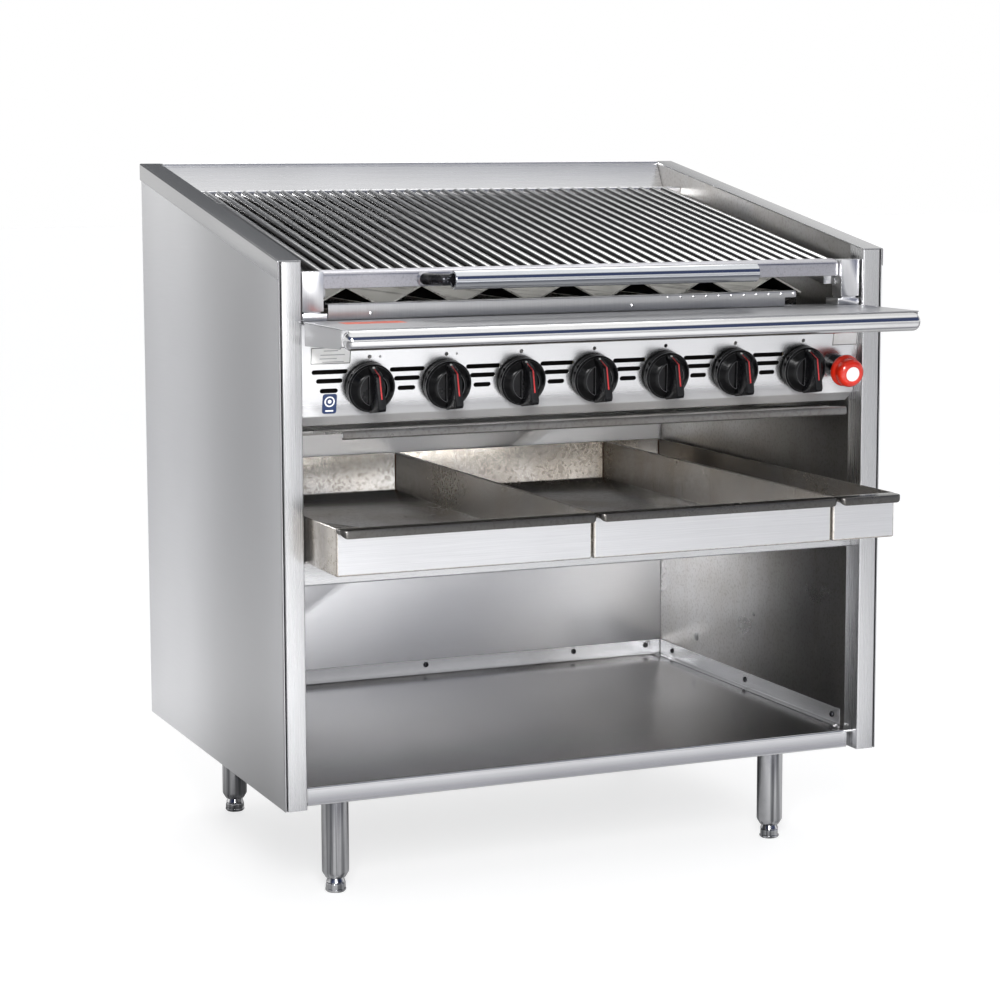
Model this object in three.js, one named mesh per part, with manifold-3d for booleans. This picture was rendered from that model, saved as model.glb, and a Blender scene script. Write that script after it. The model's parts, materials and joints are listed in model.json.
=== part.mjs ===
// A 36 inch free-standing gas radiant charbroiler with an open cabinet base.
// Millimetres, +Z up, +X to the right of a person standing in front, +Y to the rear.
// The origin is on the floor, under the middle of the whole machine.
// Inside the model, y is measured from the front face of the side panels.

import * as THREE from "three";
import { mergeVertices } from "three/addons/utils/BufferGeometryUtils.js";
import Module from "manifold-3d";

const wasm = await Module();
wasm.setup();

// ---------------------------------------------------------------- driving dimensions

const WIDTH = 914.4; // 36 inch
const DEPTH = 668; // side panels, front to rear
const FRONT_HEIGHT = 885.5; // top of the side panels at the front
const REAR_HEIGHT = 1008; // top of the side panels at the rear
const LEG_HEIGHT = 152; // floor to the underside of the cabinet
const POST_WIDTH = 32.8; // front face of each side panel
const SHEET = 1.5; // most of the folded steel
const GAP = 0.3; // left between pieces that touch

const HALF_WIDTH = WIDTH / 2;
const INNER_X = HALF_WIDTH - POST_WIDTH; // half the clear width between the side panels
const INSIDE_X = INNER_X - GAP; // half the width of a piece that fits between them
const SKIN_X = HALF_WIDTH - SHEET - GAP; // outer face of each side skin, under the top cap
const RISE = (REAR_HEIGHT - FRONT_HEIGHT) / DEPTH; // slope of the top and of the grate
const SLOPE = Math.atan(RISE);
const LEFT_AND_RIGHT = [["left", -1], ["right", 1]];

// Work deck and its rolled nose
const DECK_TOP = 805;
const DECK_FRONT = -150;
const DECK_REAR = 42;
const NOSE_RADIUS = 12.7;
const NOSE_Y = -152;
const NOSE_REACH = NOSE_RADIUS - NOSE_Y; // the frontmost point, ahead of the side panels

// Control panel: a sheet whose top leans forward, with a row of knobs
const PANEL_TOP = DECK_TOP - SHEET - GAP;
const PANEL_BOTTOM = 676.8;
const PANEL_BOTTOM_Y = 24.3;
const PANEL_LEAN = 0.1763; // forward for each unit up, which is 10 degrees
const PANEL_TILT = Math.atan(PANEL_LEAN);
const CONTROL_Z = 716.5; // height of the knob shafts where they leave the panel
const BURNER_COUNT = 7;
const BURNER_PITCH = 110;
const FIRST_BURNER_X = -326.8;
const SAFETY_X = 391.5; // pilot safety valve, right of the last knob

// Fire side: level radiants over level burners
const RADIANT_FRONT_Y = 100;
const RADIANT_LENGTH = 460;
const RADIANT_BASE_Z = 819.5;
const RADIANT_HALF_WIDTH = 48;
const RADIANT_HEIGHT = 25;
const BURNER_FRONT_Y = 118;
const BURNER_REAR_Y = 540;
const BURNER_DROP = 31; // burner axis below the base of the radiants
const BURNER_WIDTH = 34;
const BURNER_HEIGHT = 26;

// Grate: round bars in a frame that tips up about a rod at its rear
const GRATE_DROP = 20.5; // below the top of the side panels
const GRATE_HALF_WIDTH = 390.3;
const GRATE_FRONT_Y = 12.8;
const GRATE_REAR_Y = 560;
const LIP_BOTTOM = 847;
const BAR_COUNT = 39;
const BAR_RADIUS = 6;
const PIVOT_Y = 554;
const PIVOT_DROP = 45; // pivot rod axis below the top of the side panels
const PIVOT_RADIUS = 5;

// Lift handle on the front of the grate
const HANDLE_Y = -36;
const HANDLE_Z = 857;
const HANDLE_LEFT_X = -248;
const HANDLE_RIGHT_X = 238;
const HANDLE_RADIUS = 8;
const SLEEVE_RADIUS = 12.5;
const SLEEVE_ENDS = [-226, 230];

// Water pans that slide out over a frame
const PAN_FRONT = -104;
const PAN_REAR = 632;
const PAN_BOTTOM = 482.9;
const PAN_TOP = 546;
const PAN_SPANS = [["left", -417, -54.5], ["middle", -51.5, 314.5], ["right", 317.5, 417]];

// Rear wall inside the cabinet, and the ledge behind the grate
const BACK_WALL_Y = 637;
const LEDGE_FRONT_Y = 572;
const LEDGE_Z = 966.5;
const GAS_INLET = { x: 400, z: 701, radius: 13.35 };

// Base
const SHELF_TOP = 178.5;
const SHELF_FRONT_Y = 18;
const LEG_X = HALF_WIDTH - 112;
const LEG_RADIUS = 19;
const FOOT_HEIGHT = 20;
const LEG_PLACES = [
  ["front_left", -LEG_X, 117],
  ["front_right", LEG_X, 117],
  ["rear_left", -LEG_X, DEPTH - 78.5],
  ["rear_right", LEG_X, DEPTH - 78.5],
];

// ---------------------------------------------------------------- small helpers

const sideTop = (y) => FRONT_HEIGHT + RISE * y;
const grateTop = (y) => sideTop(y) - GRATE_DROP;
const panelY = (z) => PANEL_BOTTOM_Y - PANEL_LEAN * (z - PANEL_BOTTOM);
const burnerX = (index) => FIRST_BURNER_X + index * BURNER_PITCH;
const burnerNumbers = Array.from({ length: BURNER_COUNT }, (_, index) => index);

// The panel's own frame: x right, y up the sheet, z out of it, origin on the knob line.
const panelFrame = new THREE.Group();
panelFrame.position.set(0, panelY(CONTROL_Z), CONTROL_Z);
panelFrame.rotation.x = Math.PI / 2 + PANEL_TILT;
panelFrame.updateMatrix();

function block([x0, x1], [y0, y1], [z0, z1]) {
  const box = new THREE.BoxGeometry(x1 - x0, y1 - y0, z1 - z0);
  return box.translate((x0 + x1) / 2, (y0 + y1) / 2, (z0 + z1) / 2);
}

// A cylinder between two points.
function rod(from, to, radius, sides = 16, endRadius = radius) {
  const start = new THREE.Vector3(...from);
  const axis = new THREE.Vector3(...to).sub(start);
  const turn = new THREE.Quaternion().setFromUnitVectors(
    new THREE.Vector3(0, 1, 0), axis.clone().normalize());
  const geometry = new THREE.CylinderGeometry(endRadius, radius, axis.length(), sides);
  geometry.applyQuaternion(turn);
  const middle = start.add(axis.multiplyScalar(0.5));
  return geometry.translate(middle.x, middle.y, middle.z);
}

// A turned piece about the Z axis, from [radius, height] points. The points may run
// either way round: they are put in the order that makes the faces point outwards.
function turned(points, sides = 16) {
  const profile = points.map(([radius, height]) => new THREE.Vector2(radius, height));
  if (THREE.ShapeUtils.area(profile) < 0) profile.reverse();
  return new THREE.LatheGeometry(profile, sides).rotateX(Math.PI / 2);
}

// A turned ring about the Z axis: its outline closes on itself, clear of the axis.
const turnedRing = (points, sides) => turned([...points, points[0]], sides);

function extrude(outline, depth, holes = []) {
  const shape = new THREE.Shape(outline.map(([a, b]) => new THREE.Vector2(a, b)));
  shape.holes = holes;
  return new THREE.ExtrudeGeometry(shape, { depth, bevelEnabled: false, curveSegments: 6 });
}

// An outline of [y, z] points, extruded along X.
function alongX(outline, [x0, x1]) {
  const turn = new THREE.Matrix4().makeBasis(
    new THREE.Vector3(0, 1, 0), new THREE.Vector3(0, 0, 1), new THREE.Vector3(1, 0, 0));
  return extrude(outline, x1 - x0).applyMatrix4(turn).translate(x0, 0, 0);
}

// An outline of [x, z] points, extruded along Y.
function alongY(outline, [y0, y1], holes = []) {
  return extrude(outline, y1 - y0, holes).rotateX(Math.PI / 2).translate(0, y1, 0);
}

// An outline of [x, y] points, extruded along Z.
const alongZ = (outline, [z0, z1]) => extrude(outline, z1 - z0).translate(0, 0, z0);

const ordered = (a, b) => [Math.min(a, b), Math.max(a, b)];
const mirrored = (outline, side) => outline.map(([x, other]) => [side * x, other]);

// The outline of a folded sheet: a path, and the same path moved by the sheet's thickness.
// The sheet lies left of the path where thickness is positive, right of it where negative.
function folded(path, thickness = SHEET) {
  const points = path.map(([a, b]) => new THREE.Vector2(a, b));
  const normals = points.slice(1).map((point, index) => {
    const along = point.clone().sub(points[index]).normalize();
    return new THREE.Vector2(-along.y, along.x);
  });
  const other = points.map((point, index) => {
    const before = normals[Math.max(index - 1, 0)];
    const after = normals[Math.min(index, normals.length - 1)];
    const mitre = before.clone().add(after).divideScalar(1 + before.dot(after));
    return point.clone().addScaledVector(mitre, thickness);
  });
  return [...path, ...other.reverse().map((point) => [point.x, point.y])];
}

function rectangle(x0, x1, z0, z1) {
  return [[x0, z0], [x1, z0], [x1, z1], [x0, z1]];
}

function circlePath(x, y, radius) {
  return new THREE.Path().absarc(x, y, radius, 0, Math.PI * 2, true);
}

function solidOf(geometry) {
  const bare = geometry.clone();
  bare.deleteAttribute("normal");
  bare.deleteAttribute("uv");
  const welded = mergeVertices(bare, 1e-4);
  return new wasm.Manifold(new wasm.Mesh({
    numProp: 3,
    vertProperties: new Float32Array(welded.attributes.position.array),
    triVerts: new Uint32Array(welded.index.array),
  }));
}

function geometryOf(solid) {
  const mesh = solid.getMesh();
  const geometry = new THREE.BufferGeometry();
  geometry.setAttribute("position", new THREE.BufferAttribute(mesh.vertProperties, 3));
  geometry.setIndex(new THREE.BufferAttribute(mesh.triVerts, 1));
  return geometry;
}

function join(...geometries) {
  return geometryOf(geometries.map(solidOf).reduce((whole, next) => whole.add(next)));
}

function cut(geometry, ...tools) {
  const tool = tools.map(solidOf).reduce((whole, next) => whole.add(next));
  return geometryOf(solidOf(geometry).subtract(tool));
}

// ---------------------------------------------------------------- materials

const finish = (color, roughness, metalness = 1) => ({ color, roughness, metalness });
const FINISHES = {
  brushed: finish(0xc3c4c8, 0.36),
  polished: finish(0xdcdfe4, 0.12),
  heated: finish(0x8d8478, 0.42),
  galvanised: finish(0xa9acb0, 0.5),
  radiant: finish(0xd8d0b8, 0.4),
  cast: finish(0x3a3836, 0.75, 0.6),
  brass: finish(0xb59a55, 0.35),
  black: finish(0x141416, 0.35, 0),
  red: finish(0xc8201a, 0.35, 0),
};

const charbroiler = new THREE.Group();
charbroiler.position.y = (NOSE_REACH - DEPTH) / 2;
charbroiler.add(panelFrame);

function piece(name, geometry, look, parent = charbroiler) {
  const mesh = new THREE.Mesh(geometry, new THREE.MeshStandardMaterial(FINISHES[look]));
  mesh.name = name;
  parent.add(mesh);
  return mesh;
}

// ---------------------------------------------------------------- cabinet

const RETURN_DEPTH = 36; // how far the inner edge of each post turns back
const REAR_FLANGE = 22;
const CAP_DROP = 25;

// Each side skin folds round the front as a post, and round the rear as a flange.
function sidePanel(side) {
  const path = [
    [INNER_X, RETURN_DEPTH], [INNER_X, 0], [SKIN_X, 0], [SKIN_X, DEPTH],
    [SKIN_X - REAR_FLANGE, DEPTH],
  ];
  const walls = alongZ(mirrored(folded(path), side), [LEG_HEIGHT, REAR_HEIGHT]);
  const underCap = SHEET + GAP;
  const above = [
    [-1, sideTop(-1) - underCap], [DEPTH + 1, sideTop(DEPTH + 1) - underCap],
    [DEPTH + 1, REAR_HEIGHT + 1], [-1, REAR_HEIGHT + 1],
  ];
  return cut(walls, alongX(above, [-WIDTH, WIDTH]));
}

// An angle that caps the sloping top of a side panel.
function topCap(side) {
  const path = [[INNER_X, 0], [HALF_WIDTH, 0], [HALF_WIDTH, -CAP_DROP]];
  const angle = alongY(mirrored(folded(path, -SHEET), side), [0, DEPTH]);
  const shear = new THREE.Matrix4().makeShear(0, 0, 0, RISE, 0, 0);
  return angle.applyMatrix4(shear).translate(0, 0, FRONT_HEIGHT);
}

function innerWall(side) {
  const front = RETURN_DEPTH + GAP;
  const rear = DEPTH - 5;
  const underCap = SHEET + GAP;
  const outline = [
    [front, LEG_HEIGHT], [rear, LEG_HEIGHT],
    [rear, sideTop(rear) - underCap], [front, sideTop(front) - underCap],
  ];
  return alongX(outline, ordered(side * INNER_X, side * (INNER_X + SHEET)));
}

for (const [name, side] of LEFT_AND_RIGHT) {
  piece(`side_panel_${name}`, sidePanel(side), "brushed");
  piece(`top_cap_${name}`, topCap(side), "brushed");
  piece(`inner_wall_${name}`, innerWall(side), "heated");
}

const inletHole = circlePath(GAS_INLET.x, GAS_INLET.z, GAS_INLET.radius + 4);

const backPanelX = SKIN_X - SHEET - GAP;
const backPanelRear = DEPTH - SHEET - GAP;
piece("back_panel", alongY(
  rectangle(-backPanelX, backPanelX, LEG_HEIGHT, REAR_HEIGHT - 4),
  [backPanelRear - SHEET, backPanelRear], [inletHole]), "galvanised");

piece("inner_back_wall", alongY(
  rectangle(-INSIDE_X, INSIDE_X, LEG_HEIGHT, LEDGE_Z - SHEET - GAP),
  [BACK_WALL_Y, BACK_WALL_Y + SHEET], [inletHole]), "brushed");

// The ledge behind the grate, the splash that leans back from it, and its hemmed top.
function backsplash() {
  const hem = REAR_HEIGHT - 0.1;
  const splashTop = { y: 655.5, z: 1001.5 };
  const path = [
    [LEDGE_FRONT_Y, LEDGE_Z - 12], [LEDGE_FRONT_Y, LEDGE_Z], [BACK_WALL_Y, LEDGE_Z],
    [splashTop.y, splashTop.z], [splashTop.y, hem], [DEPTH, hem], [DEPTH, hem - 18],
  ];
  return alongX(folded(path, -SHEET), [-INSIDE_X, INSIDE_X]);
}
piece("backsplash", backsplash(), "brushed");

// ---------------------------------------------------------------- base

const SHELF_FLANGE_TOP = 203;
const SHELF_REAR_Y = BACK_WALL_Y - GAP;

function bottomShelf() {
  const path = [
    [32, LEG_HEIGHT], [SHELF_FRONT_Y, LEG_HEIGHT], [SHELF_FRONT_Y, SHELF_TOP],
    [SHELF_REAR_Y - SHEET, SHELF_TOP], [SHELF_REAR_Y - SHEET, SHELF_FLANGE_TOP],
  ];
  const tray = alongX(folded(path, -SHEET), [-INSIDE_X, INSIDE_X]);
  const flangeY = [47, SHELF_REAR_Y - 1];
  const flangeZ = [SHELF_TOP - 1, SHELF_FLANGE_TOP];
  const lipEnds = LEFT_AND_RIGHT.map(([, side]) => block(
    ordered(side * (INNER_X - 6), side * INNER_X),
    [SHELF_FRONT_Y - 1, 34], [LEG_HEIGHT - 1, SHELF_TOP - 4]));
  return join(
    cut(tray, ...lipEnds),
    block([-INSIDE_X, -INSIDE_X + SHEET], flangeY, flangeZ),
    block([INSIDE_X - SHEET, INSIDE_X], flangeY, flangeZ));
}
piece("bottom_shelf", bottomShelf(), "brushed");

// Two channels under the shelf carry the legs, and two cross ties hold them apart.
function baseFrame() {
  const top = SHELF_TOP - SHEET - GAP;
  const halfRail = 37;
  const rails = LEFT_AND_RIGHT.map(([, side]) => {
    const near = LEG_X - halfRail;
    const far = LEG_X + halfRail;
    const path = [[near, top], [near, LEG_HEIGHT], [far, LEG_HEIGHT], [far, top]];
    return alongY(mirrored(folded(path, 2), side), [40, 630]);
  });
  const tieX = LEG_X - halfRail + 1;
  const ties = [150, 520].map((y) => block([-tieX, tieX], [y, y + 3], [LEG_HEIGHT, top]));
  return join(...rails, ...ties);
}
piece("base_frame", baseFrame(), "galvanised");

// A tube with a threaded plug in its end, and a plate that bolts to the base frame.
function leg() {
  const top = LEG_HEIGHT - GAP;
  const plate = 3;
  const bore = 6.5;
  const plugTop = 36;
  const tube = turnedRing([
    [bore, FOOT_HEIGHT + GAP], [14.5, FOOT_HEIGHT + GAP], [LEG_RADIUS, 29],
    [LEG_RADIUS, top - 1], [LEG_RADIUS - SHEET, top - 1],
    [LEG_RADIUS - SHEET, plugTop], [bore, plugTop],
  ], 14);
  return join(tube, block([-33, 33], [-33, 33], [top - plate, top]));
}

function foot() {
  return turned([
    [0, 0], [13, 0], [15, 2.5], [15, 13], [11.5, FOOT_HEIGHT], [6, FOOT_HEIGHT], [6, 78], [0, 78],
  ], 14);
}

for (const [name, x, y] of LEG_PLACES) {
  piece(`leg_${name}`, leg(), "polished").position.set(x, y, 0);
  piece(`foot_${name}`, foot(), "polished").position.set(x, y, 0);
}

// ---------------------------------------------------------------- control panel

const SLOT_ROWS = [ // [height up the panel, length]
  [20.9, 50.2], [8.5, 36.7], [-5, 25],
];
const SLOT_HEIGHT = 6;
const SLOT_OFFSET = -55; // each group of slots is left of its knob
const SIGHT_HOLE = { up: 39.6, radius: 2.6 };
const SHAFT_HOLE_RADIUS = 7;
const SAFETY_HOLE_RADIUS = 11;

function onPanel(geometry) {
  return geometry.applyMatrix4(panelFrame.matrix);
}

function slotCutter(x, up, length) {
  const reach = (length - SLOT_HEIGHT) / 2;
  const shape = new THREE.Shape()
    .absarc(x + reach, up, SLOT_HEIGHT / 2, -Math.PI / 2, Math.PI / 2)
    .absarc(x - reach, up, SLOT_HEIGHT / 2, Math.PI / 2, Math.PI * 1.5);
  const settings = { depth: 12, bevelEnabled: false, curveSegments: 3 };
  return new THREE.ExtrudeGeometry(shape, settings).translate(0, 0, -6);
}

const holeCutter = (x, up, radius, sides) => rod([x, up, -6], [x, up, 6], radius, sides);

function controlPanel() {
  const path = [
    [DECK_REAR, PANEL_TOP], [panelY(PANEL_TOP), PANEL_TOP], [PANEL_BOTTOM_Y, PANEL_BOTTOM],
    [46.3, 663.4], [60, 663.4],
  ];
  const sheet = alongX(folded(path), [-INSIDE_X, INSIDE_X]);
  const cutters = burnerNumbers.flatMap((index) => [
    ...SLOT_ROWS.map(([up, length]) => slotCutter(burnerX(index) + SLOT_OFFSET, up, length)),
    holeCutter(burnerX(index), SIGHT_HOLE.up, SIGHT_HOLE.radius, 6),
    holeCutter(burnerX(index), 0, SHAFT_HOLE_RADIUS, 8),
  ]);
  cutters.push(holeCutter(SAFETY_X, 0, SAFETY_HOLE_RADIUS, 12));
  return cut(sheet, ...cutters.map(onPanel));
}
piece("control_panel", controlPanel(), "brushed");

// A knob on its valve stem: a skirted dial, and a deep grip that is highest at its lower end.
const STEM_RADIUS = 4;
const STEM_DEPTH = 30; // behind the panel
function knob() {
  const dial = turned([
    [0, 3], [33, 3], [33, 14], [29.5, 18.5], [22, 24], [0, 24],
  ], 18);
  const gripSide = [
    [31, 12], [31, 22], [24, 47], [-17, 56], [-22, 54], [-33.5, 18], [-31, 12],
  ];
  const grip = alongX(gripSide, [-5.5, 5.5]);
  const stem = rod([0, 0, -STEM_DEPTH], [0, 0, 6], STEM_RADIUS, 6);
  return join(dial, grip, stem);
}
for (const index of burnerNumbers) {
  piece(`knob_${index + 1}`, knob(), "black", panelFrame).position.x = burnerX(index);
}

// The pilot safety valve clamps the panel between its collar and its body.
const SAFETY_BORE = 5;
const COLLAR_FRONT = 16;
const SAFETY_REAR = -26;
piece("safety_valve", turnedRing([
  [SAFETY_BORE, COLLAR_FRONT], [15, COLLAR_FRONT], [17, COLLAR_FRONT - 2], [17, GAP],
  [SAFETY_HOLE_RADIUS - GAP, GAP], [SAFETY_HOLE_RADIUS - GAP, -SHEET - GAP],
  [18, -SHEET - GAP], [18, SAFETY_REAR], [SAFETY_BORE, SAFETY_REAR],
], 12), "black", panelFrame).position.x = SAFETY_X;

piece("safety_button", turned([
  [0, -18], [4.5, -18], [4.5, 23], [22, 23], [23.2, 25], [22.5, 29], [19.5, 33],
  [20.5, 40], [19, 45], [12, 48.5], [0, 49],
], 16), "red", panelFrame).position.x = SAFETY_X;

// ---------------------------------------------------------------- gas train

const VALVE = { front: -STEM_DEPTH - GAP, rear: -62, radius: 11 };
const PIPE = { up: -24, out: -46, radius: GAS_INLET.radius };
const HOOD = { rear: -72, radius: 6.5 };

const panelPoint = (x, up, out) =>
  new THREE.Vector3(x, up, out).applyMatrix4(panelFrame.matrix).toArray();

// A pipe with seven valves and their hoods, the pilot tube above it, and the rear inlet.
function gasManifold() {
  const pipeEnds = [-385, GAS_INLET.x];
  const pipe = rod(
    panelPoint(pipeEnds[0], PIPE.up, PIPE.out), panelPoint(pipeEnds[1], PIPE.up, PIPE.out),
    PIPE.radius, 10);
  const [, pipeY, pipeZ] = panelPoint(0, PIPE.up, PIPE.out);
  const elbow = block(
    [GAS_INLET.x - 16, GAS_INLET.x + 16], [pipeY - 16, pipeY + 16], [pipeZ - 16, pipeZ + 16]);
  const inlet = rod(
    [GAS_INLET.x, pipeY, GAS_INLET.z], [GAS_INLET.x, DEPTH, GAS_INLET.z], GAS_INLET.radius, 12);
  const valves = burnerNumbers.flatMap((index) => {
    const x = burnerX(index);
    return [
      rod(panelPoint(x, 0, VALVE.front), panelPoint(x, 0, VALVE.rear), VALVE.radius, 8),
      rod(panelPoint(x, 0, PIPE.out), panelPoint(x, PIPE.up, PIPE.out), 8, 6),
      rod(panelPoint(x, 0, VALVE.rear + 2), panelPoint(x, 0, HOOD.rear), HOOD.radius, 6),
    ];
  });
  return join(pipe, elbow, inlet, ...valves, ...pilotTube(pipeY, pipeZ));
}

// A small tube across the front of the burners, with a tip at each one.
function pilotTube(pipeY, pipeZ) {
  const tubeY = 86;
  const tubeZ = 768;
  const tubeRadius = 4.8;
  const ends = [-375, 372];
  const tube = rod([ends[0], tubeY, tubeZ], [ends[1], tubeY, tubeZ], tubeRadius, 6);
  const riser = rod([ends[0] + 6, pipeY, pipeZ], [ends[0] + 6, tubeY, tubeZ], tubeRadius, 6);
  const tips = burnerNumbers.map((index) => {
    const x = burnerX(index) + 22;
    return rod([x, tubeY, tubeZ], [x, tubeY + 10, tubeZ + 14], 3, 5);
  });
  return [tube, riser, ...tips];
}
piece("gas_manifold", gasManifold(), "brass");

const BURNER_AXIS_Z = RADIANT_BASE_Z - BURNER_DROP;

// A level cast bar, fed by a mixer tube that climbs from the valve's hood.
function burner() {
  const radius = BURNER_HEIGHT / 2;
  const flat = BURNER_WIDTH / 2 - radius;
  const round = (x, from) => Array.from({ length: 5 }, (_, step) => {
    const angle = from + (step / 4) * Math.PI;
    return [x + radius * Math.cos(angle), radius * Math.sin(angle)];
  });
  const section = [...round(flat, -Math.PI / 2), ...round(-flat, Math.PI / 2)];
  const bar = alongY(section, [BURNER_FRONT_Y, BURNER_REAR_Y]);
  bar.translate(0, 0, BURNER_AXIS_Z);
  const mouth = panelPoint(0, 0, HOOD.rear - 1);
  const bend = panelPoint(0, 0, HOOD.rear - 36);
  const top = [0, 158, BURNER_AXIS_Z];
  return join(bar, rod(mouth, bend, 16, 8, 12), rod(bend, top, 12, 8));
}

function radiant() {
  const path = [[-RADIANT_HALF_WIDTH, 0], [0, RADIANT_HEIGHT], [RADIANT_HALF_WIDTH, 0]];
  const roof = alongY(folded(path, -2.5), [0, RADIANT_LENGTH]);
  return roof.translate(0, RADIANT_FRONT_Y, RADIANT_BASE_Z);
}

for (const index of burnerNumbers) {
  piece(`burner_${index + 1}`, burner(), "cast").position.x = burnerX(index);
  piece(`radiant_${index + 1}`, radiant(), "radiant").position.x = burnerX(index);
}

// Folded rails across the fire box carry both ends of the burners and the radiants.
const RAIL_HALF_WIDTH = GRATE_HALF_WIDTH - 12;
const BELOW_RADIANT = 2.4; // the radiant's edge hangs this far below its base line
const BURNER_UNDERSIDE = BURNER_AXIS_Z - BURNER_HEIGHT / 2 - GAP;
function fireRail({ webY, shelfY, shelfZ, topY }) {
  const top = RADIANT_BASE_Z - BELOW_RADIANT - GAP;
  const path = [[shelfY, shelfZ], [webY, shelfZ], [webY, top], [topY, top]];
  return alongX(folded(path), [-RAIL_HALF_WIDTH, RAIL_HALF_WIDTH]);
}
piece("fire_rail_front", fireRail({
  webY: 112, shelfY: 130, shelfZ: BURNER_UNDERSIDE, topY: 101,
}), "heated");
piece("fire_rail_rear", fireRail({
  webY: 558, shelfY: 528, shelfZ: BURNER_UNDERSIDE - SHEET, topY: 548,
}), "heated");

// The low wall at the back of the work deck, in front of the radiants, notched at its right.
function frontRiser() {
  const front = 8;
  const ends = [-385, 319];
  const bottom = DECK_TOP + GAP;
  const path = [[30, bottom], [front, bottom], [front, 827.5], [front + 12, 827.5]];
  const notch = block([301, 325], [front - 2, front + 8], [bottom - 1, 818]);
  return cut(alongX(folded(path, -SHEET), ends), notch);
}
piece("front_riser", frontRiser(), "brushed");

// ---------------------------------------------------------------- work deck

function workDeck() {
  const under = DECK_TOP - SHEET;
  const cheekOutline = [
    [-7, 774], [-7, under + 1], [-148, under + 1], [-148, 779],
  ];
  const outer = INNER_X - 1.4;
  const cheeks = LEFT_AND_RIGHT.map(
    ([, side]) => alongX(cheekOutline, ordered(side * (outer - SHEET), side * outer)));
  const plate = block([-outer, outer], [DECK_FRONT, DECK_REAR], [under, DECK_TOP]);
  return join(plate, ...cheeks);
}
piece("work_deck", workDeck(), "brushed");

function deckNose() {
  const halfLength = INNER_X - 1.4 - SHEET - GAP;
  const shoulder = halfLength - 6;
  const bar = turned([
    [0, -halfLength], [8, -halfLength], [NOSE_RADIUS, -shoulder],
    [NOSE_RADIUS, shoulder], [8, halfLength], [0, halfLength],
  ], 16);
  return bar.rotateY(Math.PI / 2);
}
piece("deck_nose", deckNose(), "polished")
  .position.set(0, NOSE_Y, DECK_TOP - SHEET - GAP - NOSE_RADIUS);

// ---------------------------------------------------------------- grate

const RAIL_TOP_DROP = GRATE_DROP + 2 * BAR_RADIUS + 1; // below the top of the side panels
const RAIL_HEIGHT = 24;
const BLOCK_X = [391.8, 421.2];

const pivotZ = sideTop(PIVOT_Y) - PIVOT_DROP;
const acrossAt = (radius, x0, x1, y, z, sides) => rod([x0, y, z], [x1, y, z], radius, sides);

// At each side a base and a post stand on the deck, and a rail runs to the rear under the
// outermost bars. The pivot rod passes through the rail's rear end, which is lower, so
// that the tail of the grate clears it when the front is lifted.
function grateSupport() {
  const base = block([386.8, BLOCK_X[1]], [6, 40], [DECK_TOP + GAP, 814.6]);
  const neck = block([395, 418], [9, 34], [813, 819]);
  const post = block(BLOCK_X, [6, 32], [817.5, 870]);
  const rear = LEDGE_FRONT_Y - 1;
  const railTop = (y) => sideTop(y) - RAIL_TOP_DROP;
  const step = { y: PIVOT_Y - 12, drop: 4.5 };
  const outline = [
    [25, railTop(25)], [step.y, railTop(step.y)], [step.y, railTop(step.y) - step.drop],
    [rear, railTop(rear) - step.drop],
    [rear, railTop(rear) - RAIL_HEIGHT], [25, railTop(25) - RAIL_HEIGHT],
  ];
  const rail = alongX(outline, [GRATE_HALF_WIDTH - 11, BLOCK_X[1]]);
  const bore = acrossAt(PIVOT_RADIUS + GAP, 370, 430, PIVOT_Y, pivotZ, 16);
  const frontEnd = block([370, BLOCK_X[0] - 0.5], [0, 34], [820, 880]);
  return cut(join(base, neck, post, rail), bore, frontEnd);
}
piece("grate_support_left", mirrorX(grateSupport()), "brushed");
piece("grate_support_right", grateSupport(), "brushed");

function mirrorX(geometry) {
  geometry.scale(-1, 1, 1);
  const index = geometry.index.array;
  for (let corner = 0; corner < index.length; corner += 3) {
    [index[corner], index[corner + 1]] = [index[corner + 1], index[corner]];
  }
  return geometry;
}

piece("grate_pivot_rod",
  acrossAt(PIVOT_RADIUS, -BLOCK_X[1], BLOCK_X[1], PIVOT_Y, pivotZ, 16), "galvanised");

// Round bars from the front lip to the rear bar, two cross bars under them, and three
// lugs round the pivot rod.
function grate() {
  const firstBar = GRATE_HALF_WIDTH - 5;
  const pitch = (2 * firstBar) / (BAR_COUNT - 1);
  const barAxis = (y) => grateTop(y) - BAR_RADIUS / Math.cos(SLOPE);
  const barFrom = GRATE_FRONT_Y + 6;
  const barTo = GRATE_REAR_Y - 5;
  const bars = Array.from({ length: BAR_COUNT }, (_, index) => {
    const x = -firstBar + index * pitch;
    return rod([x, barFrom, barAxis(barFrom)], [x, barTo, barAxis(barTo)], BAR_RADIUS, 6);
  });
  const width = [-GRATE_HALF_WIDTH, GRATE_HALF_WIDTH];
  const proud = 0.4;
  const lipPath = [
    [GRATE_FRONT_Y, LIP_BOTTOM], [GRATE_FRONT_Y, grateTop(GRATE_FRONT_Y) + proud],
    [31, grateTop(31) + proud],
  ];
  const lip = alongX(folded(lipPath, -4), width);
  const rearBar = alongX([
    [546, grateTop(546) + proud], [GRATE_REAR_Y, grateTop(GRATE_REAR_Y) + proud],
    [GRATE_REAR_Y, grateTop(GRATE_REAR_Y) - 11.5], [546, grateTop(546) - 11.5],
  ], width);
  const crossBars = [190, 372].map((y) => block(
    [-370, 370], [y, y + 8], [grateTop(y) - 22, grateTop(y) - 2 * BAR_RADIUS + 2]));
  const lugs = [-368, 0, 368].map((x) => cut(
    join(
      block([x - 4, x + 4], [548, 560], [pivotZ, grateTop(546) - 8]),
      acrossAt(9, x - 4, x + 4, PIVOT_Y, pivotZ, 16)),
    acrossAt(PIVOT_RADIUS + GAP, x - 5, x + 5, PIVOT_Y, pivotZ, 16)));
  return join(lip, rearBar, ...crossBars, ...bars, ...lugs);
}
piece("grate", grate(), "polished");

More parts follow.
